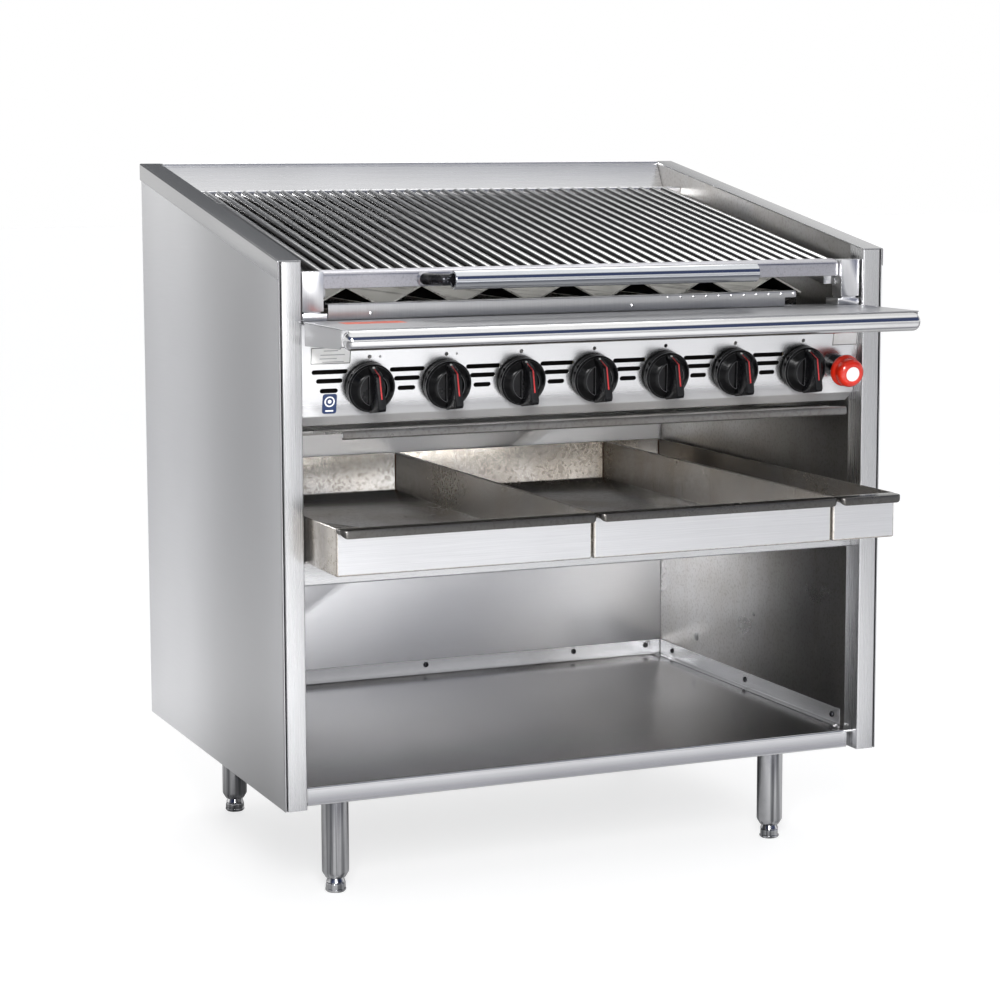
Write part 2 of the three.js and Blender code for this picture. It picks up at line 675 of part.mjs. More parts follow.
// A bent rod, welded to the lip at both ends, and the loose tube that covers its grip.
function grateHandle() {
  const root = GRATE_FRONT_Y - GAP;
  const ends = [HANDLE_LEFT_X, HANDLE_RIGHT_X];
  const bends = ends.map((x) => turned([
    ...Array.from({ length: 5 }, (_, step) => {
      const angle = -Math.PI / 2 + (step / 4) * Math.PI;
      return [Math.max(HANDLE_RADIUS * Math.cos(angle), 0), HANDLE_RADIUS * Math.sin(angle)];
    }),
  ], 10).translate(x, HANDLE_Y, HANDLE_Z));
  const legs = ends.map(
    (x) => rod([x, HANDLE_Y, HANDLE_Z], [x, root, HANDLE_Z], HANDLE_RADIUS, 10));
  return join(acrossAt(HANDLE_RADIUS, ...ends, HANDLE_Y, HANDLE_Z, 10), ...bends, ...legs);
}
piece("grate_handle", grateHandle(), "cast");

piece("handle_sleeve", turnedRing([
  [HANDLE_RADIUS + 0.8, SLEEVE_ENDS[0]], [SLEEVE_RADIUS, SLEEVE_ENDS[0]],
  [SLEEVE_RADIUS, SLEEVE_ENDS[1]], [HANDLE_RADIUS + 0.8, SLEEVE_ENDS[1]],
], 16).rotateY(Math.PI / 2), "polished").position.set(0, HANDLE_Y, HANDLE_Z);

// ---------------------------------------------------------------- drip side

// A sheet under the burners that throws fat back into the pans, with a rolled front lip.
const DEFLECTOR_FALL = 0.09; // for each unit to the rear
function dripDeflector() {
  const top = (y) => 663 - DEFLECTOR_FALL * (y + 33);
  const path = [[-33, 651], [-33, top(-33)], [330, top(330)], [330, top(330) - 14]];
  const sheet = alongX(folded(path, -SHEET), [-380, 380]);
  const ears = LEFT_AND_RIGHT.flatMap(([, side]) => [90, 290].map((y) => {
    const span = ordered(side * 378, side * INSIDE_X);
    return block(span, [y, y + 25], [top(y + 25) - 2, top(y + 25) + 1]);
  }));
  return join(sheet, ...ears);
}
piece("drip_deflector", dripDeflector(), "heated");

// An open tray with a rounded, turned-down lip to pull it by.
function waterPan(x0, x1) {
  const outside = block([x0, x1], [PAN_FRONT, PAN_REAR], [PAN_BOTTOM, PAN_TOP]);
  const inside = block(
    [x0 + SHEET, x1 - SHEET], [PAN_FRONT + SHEET, PAN_REAR - SHEET],
    [PAN_BOTTOM + SHEET, PAN_TOP + 1]);
  const lipFront = PAN_FRONT - 22;
  const path = [[PAN_FRONT + 1, PAN_TOP], [lipFront, PAN_TOP], [lipFront, PAN_TOP - 11]];
  const lip = alongX(folded(path), [x0 + 0.5, x1 - 0.5]);
  return join(cut(outside, inside), lip);
}
for (const [name, x0, x1] of PAN_SPANS) {
  piece(`water_pan_${name}`, waterPan(x0, x1), "heated");
}

// Channels at the front and rear, tied by two runners, carry the three pans.
function panFrame() {
  const top = PAN_BOTTOM - GAP;
  const bottom = 450.4;
  const channel = (open, web) => alongX(
    folded([[open, top], [web, top], [web, bottom], [open, bottom]], web < open ? SHEET : -SHEET),
    [-INSIDE_X, INSIDE_X]);
  const runners = [-53, 316].map((x) => block([x - 12, x + 12], [50, 612], [top - 2, top]));
  return join(channel(60, 25), channel(600, 630), ...runners);
}
piece("pan_frame", panFrame(), "brushed");

export default charbroiler;
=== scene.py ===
import json
import math
from math import cos, pi, sin, tan

import bmesh
import bpy
from mathutils import Matrix, Vector


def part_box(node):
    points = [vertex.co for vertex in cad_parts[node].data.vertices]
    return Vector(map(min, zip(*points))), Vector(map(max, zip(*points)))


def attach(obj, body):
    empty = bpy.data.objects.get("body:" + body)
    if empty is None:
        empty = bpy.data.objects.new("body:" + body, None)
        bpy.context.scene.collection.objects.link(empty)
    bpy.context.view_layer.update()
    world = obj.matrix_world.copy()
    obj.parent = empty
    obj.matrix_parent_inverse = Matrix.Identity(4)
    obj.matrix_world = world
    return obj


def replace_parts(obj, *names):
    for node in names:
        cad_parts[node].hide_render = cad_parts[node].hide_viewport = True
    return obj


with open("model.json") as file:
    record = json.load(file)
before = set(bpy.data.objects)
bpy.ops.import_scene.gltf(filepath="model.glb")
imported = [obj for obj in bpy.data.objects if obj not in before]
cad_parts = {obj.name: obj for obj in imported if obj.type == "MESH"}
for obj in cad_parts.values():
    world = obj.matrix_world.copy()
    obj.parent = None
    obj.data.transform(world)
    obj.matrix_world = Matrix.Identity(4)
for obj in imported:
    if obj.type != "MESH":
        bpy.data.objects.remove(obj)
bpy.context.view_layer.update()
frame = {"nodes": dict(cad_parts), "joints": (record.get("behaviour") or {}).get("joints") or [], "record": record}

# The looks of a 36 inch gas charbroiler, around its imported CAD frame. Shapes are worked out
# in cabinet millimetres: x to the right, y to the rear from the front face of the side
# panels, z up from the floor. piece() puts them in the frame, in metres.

# ---------------------------------------------------------------- sizes from the frame

FRONT_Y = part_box("side_panel_left")[0].y * 1000
RECORD = frame["record"]
JOINTS = {joint["name"]: joint for joint in frame["joints"]}
SLOT_OF = {row["node"]: row["material_slot"] for row in RECORD["subparts"]}
BODY_OF = {
    node: body for body, nodes in RECORD["behaviour"]["bodies"].items() for node in nodes
}
SIDES = (("left", -1), ("right", 1))


def cabinet(point):
    """A point of the row frame, in cabinet millimetres."""
    return Vector((point[0] * 1000, point[1] * 1000 - FRONT_Y, point[2] * 1000))


def span(node):
    """A node's lowest and highest corners, in cabinet millimetres."""
    return [cabinet(corner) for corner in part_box(node)]


SHEET = 1.5  # thickness of the folded steel
CAP_DROP = 25.0  # how far the top cap laps down the outer face
SOFT_ANGLE = math.radians(35)  # sharper edges are rounded
SMOOTH_ANGLE = math.radians(40)  # where edges are not rounded, sharper ones are shaded sharp

cap_low, cap_high = span("top_cap_right")
INNER_X = cap_low.x
HALF_WIDTH = cap_high.x
DEPTH = cap_high.y
REAR_HEIGHT = cap_high.z
FRONT_HEIGHT = cap_low.z + CAP_DROP
RISE = (REAR_HEIGHT - FRONT_HEIGHT) / DEPTH
SLOPE = math.atan(RISE)
SKIN_X = span("side_panel_right")[1].x
CABINET_FLOOR = span("side_panel_right")[0].z

BURNERS = range(1, 8)
KNOB_POINT = cabinet(JOINTS["knob_1_turn"]["pos_m"])
KNOB_OUT = Vector(JOINTS["knob_1_turn"]["axis"])
BURNER_X = [cabinet(JOINTS[f"knob_{number}_turn"]["pos_m"]).x for number in BURNERS]
SAFETY_X = sum(corner.x for corner in span("safety_button")) / 2


def side_top(y):
    """Height of the top of the side panels."""
    return FRONT_HEIGHT + RISE * y


def panel_place(x=0.0):
    """The control panel's frame at the knob line: x right, y up the sheet, z out of it."""
    right = Vector((1, 0, 0))
    up = KNOB_OUT.cross(right)
    place = Matrix((right, up, KNOB_OUT)).transposed().to_4x4()
    place.translation = (x, KNOB_POINT.y, KNOB_POINT.z)
    return place


# ---------------------------------------------------------------- shapes


class Solid:
    """Closed shells as vertices and faces, in cabinet millimetres."""

    def __init__(self):
        self.vertices = []
        self.faces = []

    def add(self, vertices, faces):
        base = len(self.vertices)
        self.vertices += [Vector(vertex) for vertex in vertices]
        self.faces += [[base + corner for corner in face] for face in faces]
        return self

    def merge(self, *others):
        for other in others:
            self.add(other.vertices, other.faces)
        return self

    def moved(self, place):
        made = Solid()
        return made.add([place @ vertex for vertex in self.vertices], self.faces)

    def shifted(self, x=0.0, y=0.0, z=0.0):
        return self.moved(Matrix.Translation((x, y, z)))

    def at(self, point, normal):
        """The solid stood on a point, with its Z axis along a normal."""
        place = Vector(normal).to_track_quat("Z", "Y").to_matrix().to_4x4()
        place.translation = point
        return self.moved(place)

    def mirrored(self, side):
        return self.moved(Matrix.Scale(side, 4, (1, 0, 0)))

    def paired(self):
        """The solid with its mirror image on the other side of the middle plane."""
        return Solid().merge(self.mirrored(-1), self)

    def rounded(self, width, segments=3, angle=SOFT_ANGLE):
        """The same solid with its sharp edges rounded."""
        mesh = bmesh.new()
        corners = [mesh.verts.new(vertex) for vertex in self.vertices]
        for face in self.faces:
            mesh.faces.new([corners[corner] for corner in face])
        bmesh.ops.recalc_face_normals(mesh, faces=mesh.faces)
        sharp = [
            edge for edge in mesh.edges
            if len(edge.link_faces) == 2 and edge.calc_face_angle() > angle
        ]
        bmesh.ops.bevel(
            mesh, geom=sharp, offset=width, segments=segments, profile=0.5, affect="EDGES")
        mesh.verts.index_update()
        made = Solid().add(
            [vertex.co.copy() for vertex in mesh.verts],
            [[vertex.index for vertex in face.verts] for face in mesh.faces])
        mesh.free()
        return made


def merged(solids):
    """Several solids as one."""
    return Solid().merge(*solids)


def loft(rings, closed=False):
    """Equal rings of points joined with quads. The ends are capped, or joined if closed."""
    size = len(rings[0])
    faces = []
    for row in range(len(rings) if closed else len(rings) - 1):
        low, high = row * size, (row + 1) % len(rings) * size
        for column in range(size):
            after = (column + 1) % size
            faces.append([low + column, low + after, high + after, high + column])
    if not closed:
        faces.append(list(range(size)))
        faces.append([(len(rings) - 1) * size + column for column in range(size)])
    return Solid().add([point for ring in rings for point in ring], faces)


def circle(radius, height, sides):
    """Points of a level circle about the Z axis."""
    turns = [2 * pi * step / sides for step in range(sides)]
    return [(radius * cos(turn), radius * sin(turn), height) for turn in turns]


def turned(profile, sides=48):
    """A piece turned about the Z axis from [radius, height] points; the ends are on the axis."""
    vertices, rings, faces = [], [], []
    for radius, height in profile:
        if radius < 1e-6:
            rings.append([len(vertices)])
            vertices.append((0, 0, height))
            continue
        rings.append([len(vertices) + step for step in range(sides)])
        vertices += circle(radius, height, sides)
    for low, high in zip(rings, rings[1:]):
        for step in range(sides):
            after = (step + 1) % sides
            if len(low) == 1:
                faces.append([low[0], high[after], high[step]])
            elif len(high) == 1:
                faces.append([low[step], low[after], high[0]])
            else:
                faces.append([low[step], low[after], high[after], high[step]])
    return Solid().add(vertices, faces)


def turned_ring(profile, sides=48):
    """A turned ring about the Z axis, whose outline closes on itself clear of the axis."""
    return loft([circle(radius, height, sides) for radius, height in profile], closed=True)


def tube(points, radius, sides=20, end_radius=None):
    """A round bar along a path, with flat ends. It may taper to another radius."""
    end_radius = radius if end_radius is None else end_radius
    points = [Vector(point) for point in points]
    tangents = []
    for index in range(len(points)):
        before = points[max(index - 1, 0)]
        after = points[min(index + 1, len(points) - 1)]
        tangents.append((after - before).normalized())
    side = tangents[0].orthogonal().normalized()
    rings = []
    for index, (point, tangent) in enumerate(zip(points, tangents)):
        side = (side - tangent * side.dot(tangent)).normalized()
        other = tangent.cross(side)
        share = index / (len(points) - 1)
        size = radius + (end_radius - radius) * share
        rings.append([point + side * a + other * b for a, b, _ in circle(size, 0, sides)])
    return loft(rings)


def arc(centre, radius, start, end, steps):
    """Points of a circle in a plane, from one angle to another, in degrees."""
    angles = [math.radians(start + (end - start) * step / steps) for step in range(steps + 1)]
    return [(centre[0] + radius * cos(a), centre[1] + radius * sin(a)) for a in angles]


def filleted(points, radius, steps=5):
    """An open or closed 3D path whose inner corners are rounded."""
    points = [Vector(point) for point in points]
    made = [points[0]]
    for before, corner, after in zip(points, points[1:], points[2:]):
        first, second = (before - corner).normalized(), (after - corner).normalized()
        half = first.angle(second) / 2
        reach = radius / tan(half)
        centre = corner + (first + second).normalized() * (radius / sin(half))
        start, end = corner + first * reach - centre, corner + second * reach - centre
        made += [centre + start.slerp(end, step / steps) for step in range(steps + 1)]
    return made + [points[-1]]


def sheet_sides(path, thickness, inner=0.8, steps=4):
    """The two faces of a sheet folded along a 2D path, with rounded bends. It lies left of
    the path where thickness is positive, right of it where negative."""
    points = [Vector(point) for point in path]
    courses = [(after - before).normalized() for before, after in zip(points, points[1:])]

    def left(course):
        return Vector((-course.y, course.x))

    near, normals = [points[0]], [left(courses[0])]
    for corner, before, after in zip(points[1:], courses, courses[1:]):
        turn = before.x * after.y - before.y * after.x
        side = 1 if turn > 0 else -1
        angle = before.angle(after)
        radius = inner + (abs(thickness) if turn * thickness > 0 else 0)
        centre = corner - before * radius * tan(angle / 2) + left(before) * side * radius
        for step in range(steps + 1):
            normal = Matrix.Rotation(side * angle * step / steps, 2) @ left(before)
            near.append(centre - normal * side * radius)
            normals.append(normal)
    near.append(points[-1])
    normals.append(left(courses[-1]))
    far = [point + normal * thickness for point, normal in zip(near, normals)]
    return near, far


ALONG = {
    "X": lambda a, b, c: (c, a, b),
    "Y": lambda a, b, c: (a, c, b),
    "Z": lambda a, b, c: (a, b, c),
}


def sheet(path, thickness, axis, low, high, inner=0.8):
    """A folded sheet, extruded along an axis. low and high are numbers, or work out the
    end's place from a point of the outline."""
    near, far = sheet_sides(path, thickness, inner)
    place = ALONG[axis]

    def end(points, where):
        return [place(p.x, p.y, where(p) if callable(where) else where) for p in points]

    count = len(near)
    vertices = end(near, low) + end(far, low) + end(near, high) + end(far, high)
    faces = []
    for i in range(count - 1):
        faces.append([i, i + 1, count + i + 1, count + i])
        faces.append([2 * count + i, 2 * count + i + 1, 3 * count + i + 1, 3 * count + i])
        faces.append([i, i + 1, 2 * count + i + 1, 2 * count + i])
        faces.append([count + i, count + i + 1, 3 * count + i + 1, 3 * count + i])
    for i in (0, count - 1):
        faces.append([i, count + i, 3 * count + i, 2 * count + i])
    return Solid().add(vertices, faces)


def slab(outline, axis, low, high):
    """A flat outline, extruded along an axis."""
    place = ALONG[axis]
    return loft([[place(a, b, low) for a, b in outline], [place(a, b, high) for a, b in outline]])


def block(x, y, z):
    """A box, from its two ends along each axis."""
    return slab([(x[0], y[0]), (x[1], y[0]), (x[1], y[1]), (x[0], y[1])], "Z", *z)


def rounded_box(x0, x1, y0, y1, radius, steps=4):
    """A rectangle with round corners, as 2D points. radius may be one for each corner."""
    near_left, near_right, far_right, far_left = (
        radius if isinstance(radius, tuple) else (radius,) * 4)
    return (
        arc((x0 + near_left, y0 + near_left), near_left, 180, 270, steps)
        + arc((x1 - near_right, y0 + near_right), near_right, 270, 360, steps)
        + arc((x1 - far_right, y1 - far_right), far_right, 0, 90, steps)
        + arc((x0 + far_left, y1 - far_left), far_left, 90, 180, steps))


def sloped(solid):
    """Shears a solid upwards to the rear, by the slope of the top."""
    shear = Matrix.Identity(4)
    shear[2][1] = RISE
    return solid.moved(shear)


def hex_screw(radius=4.2):
    """A hexagon head on its flange, standing on z 0, with its axis along Z."""
    flange = turned([(0, -1), (radius, -1), (radius, 0.5), (radius * 0.8, 1.1), (0, 1.1)], 24)
    head = turned([(0, 0.6), (radius * 0.66, 0.6), (radius * 0.66, 3.4), (0, 3.4)], 6)
    return flange.merge(head.rounded(0.35, 2))


def dome_screw(radius=4.5):
    """A pan head with a driving recess, standing on z 0, with its axis along Z."""
    return turned([
        (0, -1), (radius, -1), (radius, 0.8), (radius * 0.86, 1.9), (radius * 0.6, 2.6),
        (radius * 0.36, 2.8), (radius * 0.3, 1.6), (0, 1.4)], 24)


def cut(solid, cutter):
    """A solid with another cut out of it."""
    holders = []
    for part in (solid, cutter):
        mesh = bpy.data.meshes.new("cut")
        mesh.from_pydata(part.vertices, [], part.faces)
        outward(mesh)
        holder = bpy.data.objects.new("cut", mesh)
        bpy.context.scene.collection.objects.link(holder)
        holders.append(holder)
    modifier = holders[0].modifiers.new("cut", "BOOLEAN")
    modifier.object = holders[1]
    modifier.solver = "EXACT"
    modifier.use_self = True
    graph = bpy.context.evaluated_depsgraph_get()
    mesh = bpy.data.meshes.new_from_object(holders[0].evaluated_get(graph))
    made = Solid().add(
        [vertex.co.copy() for vertex in mesh.vertices],
        [list(face.vertices) for face in mesh.polygons])
    for holder in holders:
        old = holder.data
        bpy.data.objects.remove(holder)
        bpy.data.meshes.remove(old)
    bpy.data.meshes.remove(mesh)
    return made


# ---------------------------------------------------------------- pieces


def outward(mesh):
    """Turns every face of closed shells outwards."""
    work = bmesh.new()
    work.from_mesh(mesh)
    bmesh.ops.recalc_face_normals(work, faces=work.faces)
    work.to_mesh(mesh)
    work.free()


def soften(holder, width):
    """Rounds an object's sharp edges, by a width in millimetres."""
    bevel = holder.modifiers.new("bevel", "BEVEL")
    bevel.width = width / 1000
    bevel.segments = 2
    bevel.limit_method = "ANGLE"
    bevel.angle_limit = SOFT_ANGLE
    bevel.harden_normals = True
    bevel.use_clamp_overlap = True


def piece(name, solid, look, body, slot, bevel):
    """An object from a solid in cabinet millimetres, riding on a body."""
    mesh = bpy.data.meshes.new(name)
    places = [(v[0] / 1000, (v[1] + FRONT_Y) / 1000, v[2] / 1000) for v in solid.vertices]
    mesh.from_pydata(places, [], solid.faces)
    outward(mesh)
    mesh.materials.append(LOOKS[look])
    mesh.shade_smooth()
    made = bpy.data.objects.new(name, mesh)
    bpy.context.scene.collection.objects.link(made)
    if bevel:
        soften(made, bevel)
    else:
        mesh.set_sharp_from_angle(angle=SMOOTH_ANGLE)
    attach(made, body)
    return made


def make(name, solid, look, node, bevel=0.3):
    """A piece that stands for a CAD node."""
    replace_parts(piece(name, solid, look, BODY_OF[node], SLOT_OF[node], bevel), node)


def detail(name, solid, look, slot="brushed_steel", body="cabinet", bevel=0):
    """An extra piece on a body. The slot of the record that it is given is not used."""
    piece(name, solid, look, body, slot, bevel)


def keep(node, look, bevel=0.3):
    """A CAD node that stays, with soft edges and a better material."""
    holder = frame["nodes"][node]
    weld = holder.modifiers.new("weld", "WELD")
    weld.merge_threshold = 1e-5
    soften(holder, bevel)
    holder.data.shade_smooth()
    for place in holder.material_slots:
        place.link = "OBJECT"
        place.material = LOOKS[look]


# ---------------------------------------------------------------- materials


def grey(tone):
    """A neutral colour."""
    return (tone, tone, tone)


def scaled(colour, share):
    """A colour made darker or lighter."""
    return tuple(part * share for part in colour)


class Nodes:
    """A node tree under construction."""

    def __init__(self, tree):
        self.tree = tree
        tree.nodes.clear()

    def feed(self, target, value):
        """Puts a number, a colour or another node's output into a socket."""
        if isinstance(value, bpy.types.NodeSocket):
            self.tree.links.new(value, target)
        elif target.type == "RGBA":
            target.default_value = (*value, 1)
        else:
            target.default_value = value

    def node(self, kind, inputs=None, **settings):
        made = self.tree.nodes.new("ShaderNode" + kind)
        for name, value in settings.items():
            setattr(made, name, value)
        for name, value in (inputs or {}).items():
            self.feed(made.inputs[name], value)
        return made

    def between(self, value, low, high, start=0.3, end=0.7):
        """A number's range start to end, spread from low to high."""
        return self.node("MapRange", {
            "Value": value, "From Min": start, "From Max": end, "To Min": low, "To Max": high,
        }).outputs["Result"]

    def blend(self, share, first, second, how="MIX", clamp=True):
        made = self.node("Mix", data_type="RGBA", blend_type=how, clamp_result=clamp)
        for name, value in (("Factor", share), ("A", first), ("B", second)):
            self.feed([s for s in made.inputs if s.name == name and s.enabled][0], value)
        return [s for s in made.outputs if s.enabled][0]

    def ramp(self, value, stops, interpolation):
        """Colours along a value, from (place, colour) stops."""
        made = self.node("ValToRGB", {"Fac": value})
        made.color_ramp.interpolation = interpolation
        elements = made.color_ramp.elements
        while len(elements) < len(stops):
            elements.new(0.5)
        for index, (place, colour) in enumerate(stops):
            elements[index].position = place
            elements[index].color = (*colour, 1)
        return made.outputs["Color"]

    def math(self, operation, first, second):
        made = self.node("Math", operation=operation)
        self.feed(made.inputs[0], first)
        self.feed(made.inputs[1], second)
        return made.outputs[0]

    def times(self, first, second):
        return self.math("MULTIPLY", first, second)


class Look(Nodes):
    """A material under construction: a principled shader and the nodes that feed it."""

    def __init__(self, colour, metallic, roughness, **sockets):
        self.material = bpy.data.materials.new("look")
        self.material.use_nodes = True
        super().__init__(self.material.node_tree)
        self.shader = self.node("BsdfPrincipled")
        self.node("OutputMaterial", {"Surface": self.shader.outputs["BSDF"]})
        self.set("Base Color", colour)
        self.set("Metallic", metallic)
        self.set("Roughness", roughness)
        for socket, value in sockets.items():
            self.set(socket.replace("_", " "), value)
        self.place = self.node("TexCoord").outputs["Object"]

    def set(self, socket, value):
        self.feed(self.shader.inputs[socket], value)

    def noise(self, scale, detail=3.0, roughness=0.55):
        """Noise between 0 and 1. scale is a number, or one for each axis, in waves a metre."""
        where, size = self.place, scale
        if isinstance(scale, tuple):
            where = self.node("Mapping", {"Vector": self.place, "Scale": scale}).outputs[0]
            size = 1.0
        return self.node("TexNoise", {
            "Vector": where, "Scale": size, "Detail": detail, "Roughness": roughness,
        }).outputs["Fac"]

    def around(self, value, middle, below, above):
        """A number near a middle value, from some share below it to some share above."""
        return self.between(value, middle * (1 - below), middle * (1 + above))

    def patches(self, value, share, under, over, start=0.3, end=0.7):
        """One colour under another, which shows up to a share where a value is high."""
        return self.blend(self.between(value, 0.0, share, start, end), under, over)

    def axis(self, name):
        """One of the place's own coordinates, in metres."""
        return self.node("SeparateXYZ", {"Vector": self.place}).outputs[name]

    def steps(self, axis, low, high, tones):
        """Tones spread evenly from one place to another along an axis, in cabinet millimetres."""
        shift = FRONT_Y if axis == "Y" else 0.0
        place = self.between(
            self.axis(axis), 0.0, 1.0, (low + shift) / 1000, (high + shift) / 1000)
        stops = [(index / (len(tones) - 1), grey(tone / 2)) for index, tone in enumerate(tones)]
        return self.times(self.ramp(place, stops, "B_SPLINE"), 2.0)

    def edge_wear_and_glint(self, low=0.0, high=1.0):
        """From low on flat stretches to high along convex edges: edge wear, and a painted edge highlight."""
        sharpness = self.node("NewGeometry").outputs["Pointiness"]
        return self.between(sharpness, low, high, 0.5, 0.6)

    def bump(self, *layers):
        """Bumps the surface by (height, strength, depth in millimetres) layers."""
        normal = None
        for height, strength, depth in layers:
            inputs = {"Height": height, "Strength": strength, "Distance": depth / 1000}
            if normal:
                inputs["Normal"] = normal
            normal = self.node("Bump", inputs).outputs["Normal"]
        self.set("Normal", normal)

    def lie(self, axis):
        """Lays the grain of an anisotropic metal along an axis."""
        self.set("Tangent", self.node("Tangent", direction_type="RADIAL", axis=axis).outputs[0])


def grain_scale(axis, along, across):
    """Noise scales for streaks along an axis."""
    return tuple(along if axis == name else across for name in "XYZ")


def brushed(grain, tone=0.6, roughness=0.27, depth=1.0, bands=0.05, painted_shading=None,
            spread=0.5, bare=None):
    """Satin stainless sheet, with its grain along an axis and faint broad bands. Its painted
    shade is (axis, low, high, tones): even steps of tone along an axis, painted light and
    shade where the sheet would reflect brighter or darker surroundings.
    bare is the same, for how free of haze the metal is."""
    look = Look(grey(tone), 1.0, roughness, Anisotropic=spread)
    fine = look.noise(grain_scale(grain, 14, 2600), 2)
    coarse = look.noise(grain_scale(grain, 5, 620), 3)
    shade = look.around(look.noise(3.4, 2), tone, bands, bands)
    # painted light and shade: the tone stepped along an axis
    if painted_shading:
        shade = look.times(shade, look.steps(*painted_shading))
    shade = look.times(shade, look.around(fine, 1.0, 0.06 * depth, 0.05 * depth))
    shade = look.times(shade, look.around(coarse, 1.0, 0.03 * depth, 0.02 * depth))
    look.set("Base Color", look.node("CombineColor", {
        "Red": shade, "Green": shade, "Blue": look.times(shade, 1.012)}).outputs[0])
    look.set("Roughness", look.around(coarse, roughness, 0.07 * depth, 0.08 * depth))
    if bare:
        look.set("Metallic", look.steps(*bare))
    look.bump((fine, 0.05 * depth, 0.03), (coarse, 0.02 * depth, 0.05))
    look.lie(grain)
    return look.material


def polished(axis, tone=0.72, roughness=0.075, tint=(1.0, 1.0, 1.0)):
    """Buffed stainless, with faint turning lines and handling marks."""
    base = scaled(tint, tone)
    look = Look(base, 1.0, roughness, Anisotropic=0.25)
    lines = look.noise(grain_scale(axis, 1500, 60), 2)
    marks = look.noise(26, 5, 0.7)
    haze = look.around(marks, roughness, 0.25, 0.7)
    look.set("Roughness", look.math("ADD", haze, look.between(lines, 0.0, 0.02)))
    look.set("Base Color", look.patches(marks, 0.3, base, scaled(base, 0.8), 0.45, 0.75))
    look.bump((lines, 0.03, 0.02), (look.noise(9, 2), 0.05, 0.3))
    return look.material


def leg_steel():
    """Drawn tube, with dark and bright streaks along it, painted as reflections."""
    look = Look(grey(0.6), 1.0, 0.12)
    streaks = look.noise((95, 95, 1.5), 3, 0.6)
    marks = look.noise(30, 5, 0.7)
    # painted reflection: dark and bright streaks along the tube stand in for what it reflects
    colour = look.patches(streaks, 1.0, (0.78, 0.78, 0.79), (0.17, 0.175, 0.185), 0.44, 0.6)
    look.set("Base Color", look.patches(marks, 0.3, colour, grey(0.4)))
    look.set("Roughness", look.between(marks, 0.08, 0.2))
    look.bump((look.noise((300, 300, 4), 2), 0.04, 0.04))
    return look.material


def heated(grain, tone=0.5, stain=0.6, roughness=0.3, painted_shading=None, spread=0.4,
           metallic=1.0):
    """Stainless sheet by the fire: grease-browned, in cloudy patches with clearer spots.
    Its painted shade steps are the same as for brushed: painted light and shade."""
    look = Look(grey(tone), metallic, roughness, Anisotropic=spread)
    fine = look.noise(grain_scale(grain, 9, 1300), 2)
    cloud = look.noise(6.5, 3, 0.55)
    speckle = look.noise(210, 3, 0.6)
    drips = look.noise((26, 26, 3.2), 3, 0.6)
    clean, brown, burnt = (1.0, 0.985, 0.96), (0.62, 0.53, 0.42), (0.34, 0.28, 0.22)
    stained = look.math("ADD", look.between(cloud, 0.0, stain, 0.38, 0.66),
                        look.between(drips, 0.0, stain * 0.5, 0.5, 0.75))
    colour = look.blend(stained, scaled(clean, tone), scaled(brown, tone))
    spots = look.between(speckle, 0.0, stain * 0.8, 0.5, 0.64)
    colour = look.blend(spots, colour, scaled(burnt, tone))
    colour = look.patches(fine, 0.12, colour, grey(tone * 0.75))
    # painted light and shade: the colour multiplied by tone steps along an axis
    if painted_shading:
        shade = look.steps(*painted_shading)
        shades = look.node("CombineColor", {"Red": shade, "Green": shade, "Blue": shade})
        colour = look.blend(1.0, colour, shades.outputs[0], "MULTIPLY")
    look.set("Base Color", colour)
    rough = look.around(cloud, roughness, 0.2, 0.35)
    look.set("Roughness", look.math("ADD", rough, look.times(spots, 0.08)))
    look.bump((fine, 0.06, 0.03), (speckle, 0.12, 0.06))
    look.lie(grain)
    return look.material


def grate_steel():
    """Bar stock specked with scale: clean and bright on top, its sides near-black from fire blackening and painted
    shade.
    """
    look = Look(grey(0.5), 1.0, 0.2)
    lines = look.noise((1500, 9, 1500), 2)
    scale = look.noise(340, 5, 0.7)
    colour = look.patches(scale, 0.6, (0.8, 0.8, 0.795), (0.25, 0.24, 0.23), 0.55, 0.75)
    colour = look.patches(look.noise(14, 4), 0.3, colour, (0.4, 0.385, 0.37))
    # faces that don't face up turn near-black: fire blackening, and painted shade on the bars' sides
    facing_up = look.node("SeparateXYZ", {
        "Vector": look.node("TexCoord").outputs["Normal"]}).outputs["Z"]
    clean_and_lit_top = look.math("ADD", facing_up, look.times(scale, 0.1))
    look.set("Base Color", look.patches(clean_and_lit_top, 1.0, (0.045, 0.043, 0.042), colour, 0.6, 0.9))
    look.set("Roughness", look.between(scale, 0.12, 0.26))
    look.bump((lines, 0.08, 0.05), (scale, 0.08, 0.06))
    return look.material


def lip_steel():
    """The grate's front lip: hot-rolled stainless plate, faintly speckled and violet-grey."""
    look = Look((0.42, 0.415, 0.45), 1.0, 0.34, Anisotropic=0.3)
    fine = look.noise((8, 1500, 1500), 2)
    speckle = look.noise(420, 4, 0.7)
    cloud = look.noise(12, 3)
    colour = look.patches(speckle, 0.7, (0.5, 0.495, 0.53), (0.28, 0.275, 0.29), 0.5, 0.7)
    look.set("Base Color", look.patches(cloud, 0.35, colour, (0.55, 0.54, 0.55)))
    look.set("Roughness", look.between(cloud, 0.28, 0.42))
    look.bump((fine, 0.12, 0.05), (speckle, 0.16, 0.05))
    look.lie("X")
    return look.material


